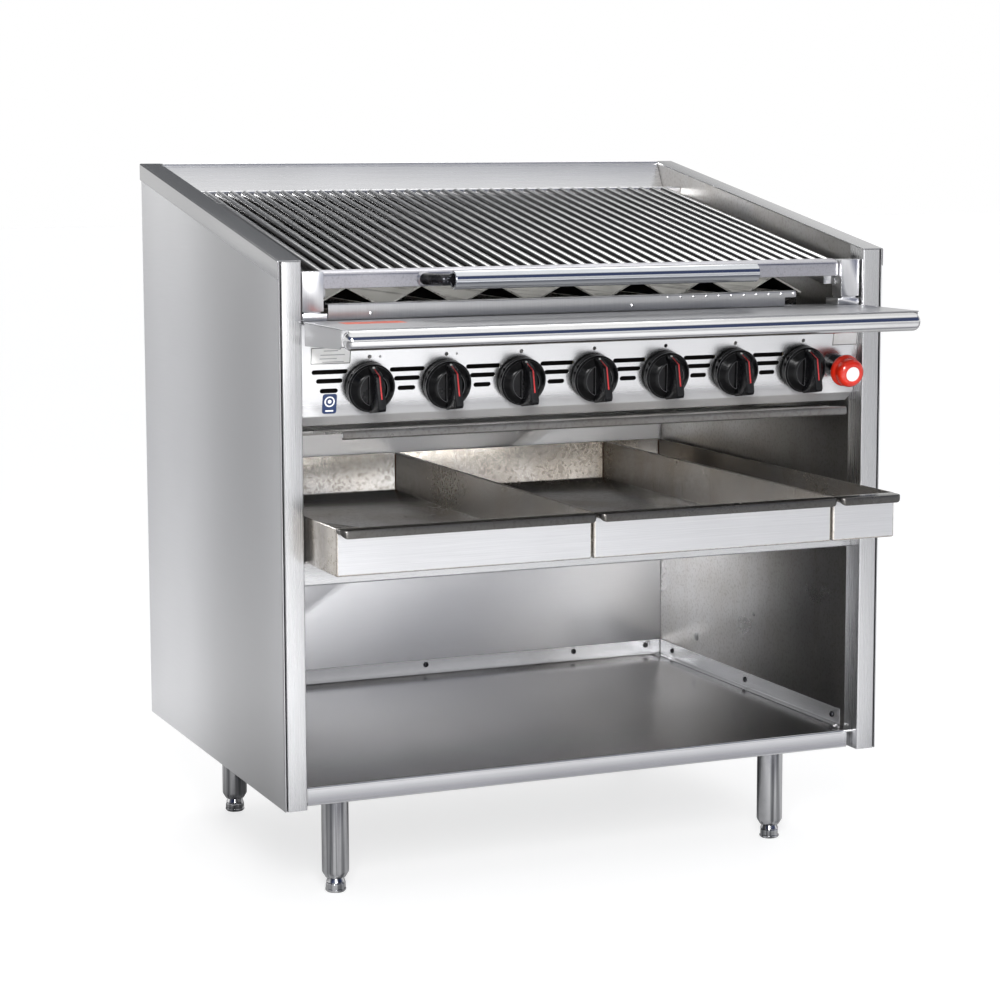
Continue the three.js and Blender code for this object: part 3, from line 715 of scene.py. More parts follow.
def radiant_steel():
    """Radiants: cream with ash, streaked dark along the roof, their convex edges paler: part wear, part painted
    highlight.
    """
    look = Look((0.62, 0.57, 0.48), 0.55, 0.5)
    streaks = look.noise((150, 3, 150), 3, 0.6)
    ash = look.noise(48, 6, 0.65)
    colour = look.patches(streaks, 1.0, (0.86, 0.84, 0.76), (0.2, 0.18, 0.13), 0.52, 0.66)
    colour = look.patches(ash, 0.6, colour, (0.88, 0.87, 0.8), 0.45, 0.7)
    # painted highlight with wear: convex edges blended pale
    look.set("Base Color", look.blend(look.edge_wear_and_glint(0.0, 0.6), colour, (0.85, 0.84, 0.82)))
    look.set("Metallic", look.between(ash, 0.5, 0.1, 0.4, 0.65))
    look.set("Roughness", look.between(ash, 0.36, 0.68))
    look.bump((look.noise(420, 3), 0.2, 0.1), (ash, 0.3, 0.5))
    return look.material


def cast_iron():
    """Grey-brown sand-cast iron, rusting in patches."""
    look = Look((0.09, 0.08, 0.075), 0.75, 0.62)
    rust = look.noise(30, 5, 0.65)
    look.set("Base Color", look.patches(
        rust, 0.8, (0.1, 0.095, 0.09), (0.16, 0.085, 0.045), 0.48, 0.68))
    look.set("Roughness", look.between(rust, 0.5, 0.8))
    look.bump((look.noise(620, 4), 0.5, 0.3), (rust, 0.3, 0.4))
    return look.material


def plated(tone=0.44):
    """Galvanised steel, with its spangle."""
    look = Look(grey(tone), 1.0, 0.42)
    spangle = look.node("TexVoronoi", {"Vector": look.place, "Scale": 95.0})
    crystal = look.node("SeparateColor", {"Color": spangle.outputs["Color"]}).outputs[0]
    colour = look.blend(
        crystal, scaled((0.82, 0.84, 0.87), tone), scaled((1.12, 1.13, 1.15), tone))
    look.set("Base Color", look.patches(look.noise(7, 4), 0.35, colour, grey(tone * 0.8)))
    look.set("Roughness", look.between(crystal, 0.46, 0.62, 0.0, 1.0))
    look.bump((crystal, 0.05, 0.05), (look.noise(900, 2), 0.06, 0.03))
    return look.material


def blackened(roughness=0.24):
    """Oxide-blackened bar or pipe, worn brighter in places."""
    look = Look((0.035, 0.035, 0.04), 0.85, roughness)
    wear = look.noise(38, 5, 0.65)
    look.set("Base Color", look.patches(
        wear, 0.6, (0.03, 0.03, 0.034), (0.19, 0.185, 0.18), 0.52, 0.74))
    look.set("Roughness", look.around(wear, roughness, 0.25, 0.5))
    look.bump((look.noise((9, 900, 900), 2), 0.15, 0.05), (wear, 0.1, 0.1))
    return look.material


def brass():
    """Dull yellow brass and painted pipe fittings, with handling stains."""
    look = Look((0.5, 0.37, 0.16), 1.0, 0.34)
    cloud = look.noise(34, 5)
    look.set("Base Color", look.patches(
        cloud, 0.8, (0.56, 0.42, 0.19), (0.3, 0.21, 0.1), 0.42, 0.68))
    look.set("Roughness", look.between(cloud, 0.26, 0.5))
    look.bump((look.noise(700, 3), 0.12, 0.06))
    return look.material


def moulded(colour, roughness, gloss=0.0, sheen=0.5):
    """Moulded plastic with a fine texture, and faint dust and handling marks."""
    look = Look(colour, 0.0, roughness, Coat_Weight=gloss, Coat_Roughness=0.12,
                Specular_IOR_Level=sheen)
    dust = look.noise(55, 5, 0.65)
    paler = tuple(min(part * 1.4 + 0.003, 1.0) for part in colour)
    look.set("Base Color", look.patches(dust, 0.5, colour, paler, 0.5, 0.75))
    look.set("Roughness", look.around(dust, roughness, 0.15, 0.25))
    look.bump((look.noise(2600, 2), 0.1, 0.03), (dust, 0.04, 0.08))
    return look.material


def vinyl(colour, worn):
    """A printed vinyl label, faded in patches."""
    look = Look(colour, 0.0, 0.38)
    fade = look.noise(60, 4)
    look.set("Base Color", look.patches(fade, 1.0, colour, worn, 0.4, 0.75))
    look.set("Roughness", look.between(fade, 0.3, 0.48))
    look.bump((look.noise(900, 2), 0.06, 0.02))
    return look.material


def screw_steel():
    """Zinc-plated screws, clouded darker in patches, their convex edges paler: part wear, part painted highlight.
    """
    look = Look((0.3, 0.3, 0.31), 1.0, 0.36)
    cloud = look.noise(160, 4)
    colour = look.patches(cloud, 0.8, (0.34, 0.34, 0.35), (0.17, 0.165, 0.16))
    # painted highlight with wear: convex edges blended pale
    look.set("Base Color", look.blend(look.edge_wear_and_glint(), colour, grey(0.6)))
    look.set("Roughness", look.between(cloud, 0.28, 0.48))
    look.bump((look.noise(1200, 2), 0.1, 0.03))
    return look.material


def soot_and_shade():
    """Near-black with flakes: painted shade behind the panel's slots and, with fire blackening, inside the
    radiants.
    """
    look = Look(grey(0.004), 0.0, 0.9, Specular_IOR_Level=0.1)
    flakes = look.noise(300, 4)
    look.set("Base Color", look.blend(flakes, grey(0.002), (0.008, 0.007, 0.006)))
    look.bump((flakes, 0.3, 0.1))
    return look.material


def floor_paint():
    """The pale studio floor, with the broad tones that its steel guest picks up from it."""
    look = Look(grey(0.9), 0.0, 0.7)
    x, y = look.axis("X"), look.axis("Y")
    before_left = look.times(
        look.between(y, 1.0, 0.0, -1.2, 0.6), look.between(x, 0.0, 1.0, -1.1, -0.2))
    behind = look.times(
        look.between(y, 0.0, 1.0, 0.3, 1.2), look.between(x, 1.0, 0.2, -0.4, 0.6))
    near = look.times(
        look.between(y, 0.0, 1.0, -0.85, -0.6), look.between(y, 1.0, 0.0, -0.5, -0.3))
    bright = look.math("MAXIMUM", before_left, behind)
    shown = look.blend(bright, grey(0.3), grey(0.88))
    shown = look.blend(near, shown, (0.24, 0.24, 0.26))
    pale = look.blend(look.noise(1.3, 2), grey(0.3), grey(0.32))
    seen = look.node("LightPath").outputs["Is Camera Ray"]
    look.set("Base Color", look.blend(seen, shown, pale))
    look.set("Emission Color", grey(1.0))
    look.set("Emission Strength", look.times(seen, 0.72))
    return look.material


LOOKS = {
    "sheet_x": brushed("X"),
    "sheet_z": brushed("Z"),
    # painted shade: the side skins darker over their front half, lighter towards the rear
    "side": brushed("Y", 0.66, 0.3, 0.35, 0.03, painted_shading=(
        "Y", 0, DEPTH, (0.8, 0.6, 0.6, 0.66, 0.82, 1.05, 1.15, 1.2, 1.15))),
    "cap": brushed("Y", 0.46, 0.16, 0.5, spread=0.1),
    "back_wall": brushed("X", 0.92, 0.48, 0.2, 0.03, spread=0.1),
    "splash": brushed("X", 0.64, 0.27),
    # painted light: the panel lightened along its bottom fold, against the dark it reflects there
    "panel": brushed("X", 0.68, 0.24, 0.6, spread=0.1, painted_shading=(
        "Z", 655, 684, (1.35, 1.35, 1.0, 1.0)), bare=("Z", 674, 712, (0.4, 0.4, 0.75, 1.0, 1.0))),
    "deck": brushed("X", 0.47, 0.34),
    "riser": brushed("Z", 0.42, 0.3),
    # painted shade: the grate supports dark behind their front ends
    "block": brushed("Z", 0.72, 0.3, painted_shading=(
        "Y", 0, 150, (1.0, 1.0, 0.4, 0.25, 0.25))),
    # painted light: the shelf's front lip and its flanges lighter than its top
    "shelf": brushed("X", 0.5, 0.2, painted_shading=(
        "Z", 168.5, 188.5, (1.6, 1.6, 0.75, 1.3, 1.3))),
    "nose": polished("X"),
    "sleeve": polished("X", 0.66, 0.09, (0.93, 0.96, 1.0)),
    "leg": leg_steel(),
    "bars": grate_steel(),
    "lip": lip_steel(),
    # painted shadow and light: the inner walls dark towards the front, lit towards the rear
    "wall": heated("Z", 0.7, 0.3, 0.32, (
        "Y", 0, DEPTH, (0.3, 0.34, 0.6, 0.95, 1.1, 1.15, 1.15))),
    # painted light and shade: the pans lighter towards the front, darker towards the rear
    "pan": heated("X", 0.7, 0.55, 0.2, (
        "Y", -110, 640, (1.2, 1.2, 1.15, 1.1, 1.05, 0.95, 0.85)), 0.0, 0.88),
    "rust": moulded((0.09, 0.035, 0.012), 0.6),
    "pan_front": brushed("X", 0.76, 0.32),
    "pan_lip": heated("X", 0.14, 0.3, 0.26),
    # painted shade and light: the deflector's rolled front dark, its top behind it lighter
    "deflector": heated("X", 0.5, 0.4, 0.3, (
        "Y", -34, -18, (0.35, 0.35, 1.0, 1.2, 1.2)), metallic=0.6),
    "rail": heated("X", 0.36, 0.8),
    "radiant": radiant_steel(),
    "iron": cast_iron(),
    "black_iron": blackened(0.5),
    "plated": plated(),
    "plated_dark": plated(0.32),
    "black_bar": blackened(),
    "brass": brass(),
    "black": moulded((0.003, 0.003, 0.0035), 0.2, sheen=0.2),
    "scoop": moulded((0.005, 0.005, 0.006), 0.24, sheen=0.25),
    # painted sheen: paler plastic for the floors of the knobs' scoops
    "knob_scoop_sheen": moulded((0.014, 0.014, 0.015), 0.3),
    # painted highlight: paler plastic for the knobs' edge lines
    "knob_edge_glint": moulded((0.09, 0.09, 0.095), 0.3),
    "red": moulded((0.6, 0.02, 0.006), 0.2, 0.5),
    "red_line": moulded((0.42, 0.012, 0.014), 0.25, 0.4),
    "white": moulded((0.8, 0.8, 0.78), 0.4),
    "label_white": vinyl((0.93, 0.93, 0.92), (0.86, 0.85, 0.82)),
    "label_grey": vinyl((0.42, 0.42, 0.43), (0.5, 0.5, 0.5)),
    "label_blue": vinyl((0.008, 0.022, 0.085), (0.02, 0.045, 0.13)),
    "label_black": vinyl((0.03, 0.03, 0.032), (0.08, 0.08, 0.08)),
    "label_red": vinyl((0.68, 0.09, 0.04), (0.74, 0.2, 0.12)),
    "stud": polished("X", 0.85, 0.2),
    "screw": screw_steel(),
    # painted shade: near-black for the dark behind the slots and under the radiant roofs
    "soot_and_shade": soot_and_shade(),
}
for key, material in LOOKS.items():
    material.name = key

# ---------------------------------------------------------------- cabinet

HEM = 8.0  # the front edge of each side skin is folded back on itself
SEAM = 1.7  # the dark line between a skin's hem and the post beside it


def under_cap(point):
    """Where a side panel's sheet ends, just below its cap."""
    return side_top(point.y) - SHEET - 0.3


def side_panels():
    """A side skin with its hemmed front edge, beside a post of folded sheet."""
    rear_return, post_depth, seam_depth = 22, 36, 12
    for name, side in SIDES:
        skin = sheet([(SKIN_X, 0.3), (SKIN_X, DEPTH), (SKIN_X - rear_return, DEPTH)], SHEET, "Z",
                     CABINET_FLOOR, under_cap)
        hem = sheet([(SKIN_X - SHEET, 0.7), (SKIN_X + 0.4, 0.7), (SKIN_X + 0.4, HEM)],
                    SHEET * 0.8, "Z", CABINET_FLOOR, under_cap, inner=0.4)
        corner = SKIN_X - SHEET - SEAM
        post = sheet([(INNER_X, post_depth), (INNER_X, 0), (corner, 0), (corner, seam_depth)],
                     SHEET, "Z", CABINET_FLOOR, under_cap, inner=0.6)
        make(f"side_skin_{name}", skin.merge(hem).mirrored(side), "side", f"side_panel_{name}")
        detail(f"post_{name}", post.mirrored(side), "sheet_z", bevel=0.3)


def top_caps():
    """An angle over the sloping top of each side panel, with a closed front end."""
    for name, side in SIDES:
        angle = sloped(sheet(
            [(INNER_X, 0), (HALF_WIDTH, 0), (HALF_WIDTH, -CAP_DROP)], -SHEET, "Y", 0, DEPTH,
            inner=0.7)).shifted(z=FRONT_HEIGHT)
        make(f"cap_{name}", angle.mirrored(side), "cap", f"top_cap_{name}")


def rear():
    """The ledge behind the grate and its splash, the inner walls and the back panel."""
    low, high = span("backsplash")
    ledge, front_fold, hem = 966.5, 12, 18
    crease = span("inner_back_wall")[0].y
    upright_y, upright_z = 655.5, 1001.5  # where the leaning splash turns upright
    splash = sheet([
        (low.y, ledge - front_fold), (low.y, ledge), (crease, ledge), (upright_y, upright_z),
        (upright_y, high.z), (high.y, high.z), (high.y, high.z - hem),
    ], -SHEET, "X", low.x, high.x)
    make("splash", splash, "splash", "backsplash")
    keep("inner_back_wall", "back_wall")
    for name, _ in SIDES:
        keep(f"inner_wall_{name}", "wall")
    keep("back_panel", "plated")


def back_fittings():
    """Screws round the back panel, its rows of vents and a blank rating plate."""
    low, high = span("back_panel")
    margin_x, margin_z = 32, 14
    left, right = low.x + margin_x, high.x - margin_x
    bottom, top = low.z + margin_z, high.z - margin_z
    places = [(x, z) for x in (left, 0, right) for z in (bottom, top)]
    places += [(x, z) for x in (left, right) for z in (440, 720)]
    screws = merged(hex_screw().at((x, high.y, z), (0, 1, 0)) for x, z in places)
    detail("back_screws", screws, "screw", "plated_steel")
    lowest, pitch, half = 560, 22, 70
    louvre = [(0, 0), (3.2, 4), (3.2, 11), (2, 12)]
    vents = merged(
        sheet(louvre, -1.2, "X", x - half, x + half).shifted(y=high.y, z=lowest + pitch * row)
        for row in range(5) for x in (-210, 210))
    detail("back_louvres", vents, "plated", "plated_steel", bevel=0.3)
    plate_x, plate_z, width, height = -160, 330, 110, 70
    outline = rounded_box(-width / 2, width / 2, 0, height, 3)
    plate = slab(outline, "Y", high.y - 0.2, high.y + 0.8).shifted(x=plate_x, z=plate_z)
    detail("rating_plate", plate, "label_grey", "plated_steel", bevel=0.3)


# ---------------------------------------------------------------- base


def bottom_shelf():
    """The shelf, its folded lip and its flanges, each with its row of screws."""
    low, high = span("bottom_shelf")
    top, rear_y, side_x = 178.5, high.y - SHEET, high.x - SHEET
    lip_gap, lip_depth, lip_top = 6.0, 32, 174.5
    lip = sheet([(lip_depth, low.z), (low.y, low.z), (low.y, lip_top)], -SHEET, "X",
                low.x + lip_gap, high.x - lip_gap, inner=1.2)
    plate = sheet([(low.y, lip_top - 0.1), (low.y, top), (rear_y, top), (rear_y, high.z)],
                  -SHEET, "X", low.x, high.x, inner=1.2)
    flange_front, flange_foot = 47, 12
    flange = sheet([(high.x - flange_foot, top + 0.2), (high.x, top + 0.2), (high.x, high.z)],
                   SHEET, "Y", flange_front, rear_y - 2)
    make("shelf", merged([lip, plate, flange.paired()]), "shelf", "bottom_shelf")
    rear_screw_z, side_screw_z = 194.5, 191
    screws = merged(
        dome_screw().at((x, rear_y, rear_screw_z), (0, -1, 0))
        for x in (-395, -269, -4, 261, 395))
    for y in (69, 337, 590):
        screws.merge(dome_screw().at((side_x, y, side_screw_z), (-1, 0, 0)).paired())
    detail("shelf_screws", screws, "black_bar")
    plug = turned([(0, -1), (7, -1), (7, 0.6), (5.5, 1.6), (0, 1.9)], 24)
    detail("wall_plug", plug.at((INNER_X, 505, 230), (-1, 0, 0)), "screw", "heat_tinted_steel")
    keep("base_frame", "plated_dark")


def leg(top, bottom):
    """A tube narrowed round its foot's neck, welded under a square plate."""
    radius, plate_half, plate_bottom = 19.0, 33, top - 3
    barrel = turned_ring([
        (6.6, bottom), (13.2, bottom), (14.2, bottom + 0.6), (radius - 0.5, 28),
        (radius, 29.6), (radius, top - 4), (radius - SHEET, top - 4), (radius - SHEET, 36),
        (6.6, 36)], 56)
    weld = turned_ring([
        (radius - 0.5, top - 7.5), (radius + 1.6, top - 5.6), (radius + 3.4, top - 3.2),
        (radius - 0.5, top - 3.2)], 56)
    plate = slab(rounded_box(-plate_half, plate_half, -plate_half, plate_half, 6), "Z",
                 plate_bottom, top)
    return barrel.merge(weld, plate)


def adjuster():
    """A foot: a round pad, a hexagon waist and a neck that slides in the leg."""
    waist = turned([(0, 2.6), (15, 2.6), (15, 12.4), (12, 15.5), (0, 15.5)], 6)
    pad = turned([(0, 0), (12.6, 0), (13, 0.5), (14.6, 2.2), (14.8, 4), (0, 4)], 48)
    neck = turned([(0, 14), (13.4, 14), (11.5, 19.8), (6, 19.8), (6, 78), (0, 78)], 48)
    return pad.merge(waist.rounded(0.8), neck)


def legs():
    """Four legs on bolted plates, each over its adjustable foot."""
    for name in ("front_left", "front_right", "rear_left", "rear_right"):
        low, high = span(f"leg_{name}")
        x, y, _ = (low + high) / 2
        bolts = merged(
            hex_screw(5).at((right, back, high.z - 3), (0, 0, -1))
            for right in (-25, 25) for back in (-25, 25))
        make(f"leg_tube_{name}", leg(high.z, low.z).shifted(x, y), "leg", f"leg_{name}")
        detail(f"leg_bolts_{name}", bolts.shifted(x, y), "screw", "polished_steel")
        make(f"adjuster_{name}", adjuster().shifted(x, y), "leg", f"foot_{name}")


# ---------------------------------------------------------------- control panel

SLOT_HEIGHT = 6.0
SLOT_ROWS = ((20.9, 50.2), (8.5, 36.7), (-5.0, 25.0))  # height up the panel, and length
SLOT_OFFSET = -55.0  # each group of slots is left of its knob
SIGHT_HOLE_UP = 39.6
LEAN = KNOB_OUT.z / KNOB_OUT.y  # how far the panel leans forward, for each unit up


def panel_y(z):
    """Where the control panel's face is, at a height above the floor."""
    return KNOB_POINT.y - LEAN * (z - KNOB_POINT.z)


def up_panel(z):
    """A height above the floor, as a distance up the sheet from the knob line."""
    return (z - KNOB_POINT.z) * math.sqrt(1 + LEAN * LEAN)


def capsule(x, y, length, height):
    """The outline of a slot with round ends, about a centre."""
    reach, radius = (length - height) / 2, height / 2
    return arc((x + reach, y), radius, -90, 90, 8) + arc((x - reach, y), radius, 90, 270, 8)


def round_hole(x, y, radius):
    """The outline of a hole, about a centre."""
    return arc((x, y), radius, 0, 360, 20)[:-1]


def control_panel():
    """The folded panel, with groups of air slots, sight holes and shaft holes cut in it."""
    low, high = span("control_panel")
    bottom, lip_y, lip_z = 676.8, 46.3, 663.4
    body = sheet([
        (high.y - 20, high.z), (panel_y(high.z), high.z), (panel_y(bottom), bottom),
        (lip_y, lip_z), (60, lip_z)], SHEET, "X", low.x, high.x, inner=1.2)
    sight_hole, shaft_hole, valve_hole, mark = 2.6, 7, 11, 1.7
    holes = [round_hole(SAFETY_X, 0, valve_hole)]
    for x in BURNER_X:
        holes += [capsule(x + SLOT_OFFSET, up, length, SLOT_HEIGHT) for up, length in SLOT_ROWS]
        holes += [round_hole(x, SIGHT_HOLE_UP, sight_hole), round_hole(x, 0, shaft_hole)]
    cutter = merged(slab(hole, "Z", -6, 6) for hole in holes)
    make("panel", cut(body, cutter.moved(panel_place())), "panel", "control_panel")
    half, reach, depth = 27, (-10, 26), (-9, -8)  # near-black plates behind the slots: painted shade
    shade_plates = merged(
        block((x + SLOT_OFFSET - half, x + SLOT_OFFSET + half), reach, depth) for x in BURNER_X)
    detail("slot_shade_plates", shade_plates.moved(panel_place()), "soot_and_shade")
    marks = merged(
        slab(round_hole(x + 15, SIGHT_HOLE_UP, mark), "Z", -0.1, 0.12) for x in BURNER_X[:2])
    detail("panel_marks", marks.moved(panel_place()), "label_grey")


DIAL_RADIUS = 33.0
BLADE = 5.5  # half the blade's width
BLADE_SIDE = ((31, 12), (31, 21), (24.5, 46), (-17, 56), (-22, 54), (-33.2, 18), (-31, 12))


def ramp_point(up):
    """How far out the top of the blade's long side is, at a height up the panel."""
    points = BLADE_SIDE[1:4]
    for (up0, out0), (up1, out1) in zip(points, points[1:]):
        if up1 <= up <= up0:
            return out0 + (out1 - out0) * (up0 - up) / (up0 - up1)
    return points[-1][1]


LOBE_CENTRE, LOBE_RADIUS = (-3.0, 0.0), 22.5  # the round side of each finger scoop
SCOOP_FLOOR = 17.5


def scoop_lobe(near, end, spread, steps, inset=0.0):
    """A scoop's outline: an arc, closed beside the blade."""
    round_side = arc(LOBE_CENTRE, LOBE_RADIUS - inset, -spread, spread, steps)
    return [(near, -end), *round_side, (near, end)]


def knob_dial():
    """The skirted dial, with a finger scoop on each side of the blade."""
    profile = [(0, 3), (DIAL_RADIUS - 1, 3), (DIAL_RADIUS, 4), (DIAL_RADIUS, 13)]
    profile += arc((DIAL_RADIUS - 3.2, 13), 3.2, 15, 62, 3)
    profile += [(24.6, 21.6), (22.8, 23), (20.5, 23.6), (0, 23.8)]
    lobe = scoop_lobe(6.6, 20.3, 64, 22)
    floor = [(x * 0.97 + 0.3, y * 0.95, SCOOP_FLOOR) for x, y in lobe]
    scoop = loft([floor, [(x, y, 24.6) for x, y in lobe]])
    return cut(turned(profile, 72), scoop.paired())


def knob_blade():
    """The finger grip across the dial: a thin wall, highest at its lower end."""
    return slab(BLADE_SIDE, "X", -BLADE, BLADE).rounded(1.4, 3, math.radians(25))


def knob_line():
    """The inlaid pointer, up the steep end of the blade and along its ridge."""
    ups = (29.8, 27.5, 25.4, 24.5, 23.2, 18, 12, 6, 0, -5)
    half, proud = 0.95, 0.22
    rings = []
    for up in ups:
        out = ramp_point(up) + proud
        rings.append([(-half, up, out - 1.2), (half, up, out - 1.2), (half, up, out),
                      (0, up, out + 0.12), (-half, up, out)])
    return loft(rings)


def knob_edges():
    """Painted highlights along the edges of the dial's skirt and of its two scoops, as fine raised lines."""
    half = 0.3
    edges = Solid()
    for radius, out in ((DIAL_RADIUS - 0.1, 13.8), (DIAL_RADIUS - 2.6, 16.2)):
        edges.merge(turned_ring([
            (radius - half, out - half), (radius + half, out - half),
            (radius + half, out + half), (radius - half, out + half)], 72))
    rim = scoop_lobe(6.2, 20.2, 64, 22) + [(6.2, 0), (6.2, -19.6)]
    return edges.merge(tube([(x, y, 23.5) for x, y in rim], 0.34, 8).paired())


def knob_floors():
    """The floors of the two scoops, a little paler: a painted sheen."""
    lobe = scoop_lobe(6.6, 19, 62, 16, inset=1.2)
    return slab(lobe, "Z", SCOOP_FLOOR - 0.3, SCOOP_FLOOR + 0.3).paired()


REST_TURN = Matrix.Rotation(math.radians(4), 4, "Z")  # how the knobs stand in the photograph


def knobs():
    """Seven equal knobs, each a dial with five smaller pieces and a stem through the panel."""
    dot = turned([(0, -0.5), (1.7, -0.5), (1.7, 0.2), (1.1, 0.5), (0, 0.6)], 20)
    stem = turned([(0, -30), (4, -30), (4, 5), (0, 5)], 20)
    dial = knob_dial()
    details = (
        ("blade", knob_blade(), "scoop", "black_plastic"),
        ("pointer", knob_line(), "red_line", "red_plastic"),
        # the floors and edges pieces carry a painted sheen and painted highlight lines
        ("floors", knob_floors(), "knob_scoop_sheen", "black_plastic"),
        ("edges", knob_edges(), "knob_edge_glint", "black_plastic"),
        ("dot", dot.at((0, 30.6, 23.4), (0, 0.85, 0.5)), "white", "black_plastic"),
        ("stem", stem, "screw", "plated_steel"),
    )
    for number, x in zip(BURNERS, BURNER_X):
        place, knob = panel_place(x) @ REST_TURN, f"knob_{number}"
        make(f"{knob}_dial", dial.moved(place), "black", knob, bevel=0.35)
        for name, solid, look, slot in details:
            detail(f"{knob}_{name}", solid.moved(place), look, slot, knob)


def safety():
    """The pilot safety valve and its flanged button, with a white disc in its face."""
    place = panel_place(SAFETY_X)
    valve = turned_ring([
        (5, 16), (14.4, 16), (16, 15.4), (17, 14), (17, 0.3), (10.7, 0.3), (10.7, -1.8),
        (18, -1.8), (18, -26), (5, -26)], 48)
    make("safety_collar", valve.moved(place), "black", "safety_valve")
    button = turned([
        (0, -18), (4.5, -18), (4.5, 23), (21.4, 23), (22.6, 23.5), (23.2, 25), (23, 27),
        (22.2, 29), (20.8, 30.2), (19.6, 31.6), (19.5, 33), (20.3, 37), (20.5, 40), (20.1, 43),
        (18.8, 45.4), (16.2, 47.4), (13, 48.5), (11.6, 48.6), (11, 47.6), (0, 47.6)], 64)
    make("safety_cap", button.moved(place), "red", "safety_button", bevel=0)
    disc = turned([(0, 47.4), (10.5, 47.4), (10.5, 48.1), (9, 48.6), (0, 48.8)], 40)
    detail("safety_disc", disc.moved(place), "white", "red_plastic", "safety_button")


def sticker(name, x, z, width, height, layers, corner=2.0):
    """A blank printed label on the control panel: (inset, look) layers over each other."""
    up = up_panel(z)
    for number, (inset, look) in enumerate(layers):
        half, rise = width / 2 - inset, height / 2 - inset
        outline = rounded_box(x - half, x + half, up - rise, up + rise, max(corner - inset, 0.4))
        face = slab(outline, "Z", -0.1, 0.14 + 0.08 * number)
        detail(f"{name}_{number}", face.moved(panel_place()), look)


def labels():
    """Blank plates and stickers, with plain lines where a plate would be printed."""
    framed = ((0, "label_white"), (0.9, "label_black"), (1.8, "label_white"))
    badge_x, badge_z, print_top = -380, 694, 0.4
    sticker("label_plate", -381.5, 759, 57, 24, framed, 1.0)
    sticker("label_badge", badge_x, badge_z, 20, 27, ((0, "label_blue"),), 3.5)
    sticker("label_right", 402, 761, 42, 30, framed, 1.0)
    ring = turned_ring([(5.4, -0.1), (7.2, -0.1), (7.2, print_top), (5.4, print_top)], 32)
    ring.merge(turned([(0, -0.1), (2.6, -0.1), (2.6, print_top), (0, print_top)], 24))
    ring.merge(block((-5.5, 5.5), (-13.6, -11.6), (-0.1, print_top)))
    ring = ring.shifted(badge_x, up_panel(badge_z) + 3)
    detail("label_badge_ring", ring.moved(panel_place()), "label_white")
    lines = Solid()
    for x, z, length in ((-381.5, 765.5, 20), (-379, 760, 34), (-385, 755, 24), (-378, 750.5, 30)):
        across, up = (x - length / 2, x + length / 2), up_panel(z)
        lines.merge(block(across, (up - 0.6, up + 0.6), (0, print_top)))
    detail("label_plate_lines", lines.moved(panel_place()), "label_grey")
    deck_top = 805.0
    red = slab(rounded_box(-385, -300, -62, -30, 2), "Z", deck_top - 0.1, deck_top + 0.12)
    detail("label_deck", red, "label_red")


# ---------------------------------------------------------------- gas train

MANIFOLD = panel_place() @ Vector((0, -24, -46))  # the axis of the manifold pipe


def gas_manifold():
    """The manifold pipe behind the panel, with its elbow and the threaded inlet at the rear."""
    low, high = span("gas_manifold")
    x, inlet_z, radius, half = 400.0, 701.0, 13.35, 16
    y, z = MANIFOLD.y, MANIFOLD.z
    elbow = block((x - half, x + half), (y - half, y + half), (z - half, z + half))
    across = tube([(low.x, y, z), (x, y, z)], radius, 32)
    back = tube([(x, y, inlet_z), (x, high.y, inlet_z)], radius, 32)
    pipes = merged([across, elbow.rounded(3, 3), back])
    thread = turned_ring([
        (radius - 1, -1.1), (radius, -0.9), (radius + 0.7, 0), (radius, 0.9),
        (radius - 1, 1.1)], 32)
    last, pitch = high.y - 3.2, 2.4
    for turn in range(7):
        pipes.merge(thread.at((x, last - pitch * turn, inlet_z), (0, 1, 0)))
    make("manifold_pipe", pipes, "black_iron", "gas_manifold")


def gas_valves():
    """A valve with its nipple and orifice hood behind each knob, and the pilot tube."""
    valve = turned([(0, -62), (9, -62), (11, -60), (11, -44), (12.5, -42), (12.5, -34),
                    (9, -30.4), (0, -30.4)], 24)
    hood = turned([(0, -72), (4, -72), (6.5, -69), (6.5, -60), (0, -60)], 6).rounded(0.5, 2)
    nipple = tube([(0, 0, -46), (0, -24, -46)], 8, 20)
    train = merged(merged([valve, hood, nipple]).moved(panel_place(x)) for x in BURNER_X)
    y, z, start, end = 86, 768, -369, 372
    pilot = filleted([(start, MANIFOLD.y, MANIFOLD.z), (start, y, z), (end, y, z)], 14)
    train.merge(tube(pilot, 4.6, 16))
    for x in BURNER_X:
        train.merge(tube([(x + 22, y, z), (x + 22, y + 10, z + 14)], 3, 12, 1.8))
    detail("manifold_valves", train, "brass", "gas_brass", bevel=0.3)


RADIANT_REACH, RADIANT_RIDGE = 460.0, 25.0  # length, and height over the feet


def burner(axis_z):
    """A cast bar with two rows of ports, fed by a mixer tube from its valve."""
    width, height = 34, 26
    sizes = ((118, 0.82), (119.5, 0.94), (122, 1), (536, 1), (538.5, 0.94), (540, 0.82))
    bar = loft([[(a * size, y, b * size + axis_z) for a, b in capsule(0, 0, width, height)]
                for y, size in sizes])
    first, pitch, count = 136, 15, 26
    port = turned([(0, -1), (2.6, -1), (2.1, 1.2), (1.2, 1.2), (1.1, 0.2), (0, 0.2)], 10)
    for step in range(count):
        for side in (-1, 1):
            place = (side * 9, first + pitch * step, axis_z + 12.2)
            bar.merge(port.at(place, (side * 0.5, 0, 0.86)))
    mouth, bend = (panel_place() @ Vector((0, 0, out)) for out in (-73, -108))
    inside = (0, 158, axis_z)
    mixer = tube(filleted([mouth, bend, inside], 30, 6), 12, 28)
    bell = turned([(0, 0), (13, 0), (15.6, 1), (16, 3), (12, 16), (0, 16)], 32)
    return bar.merge(mixer, bell.at(mouth, bend - mouth))


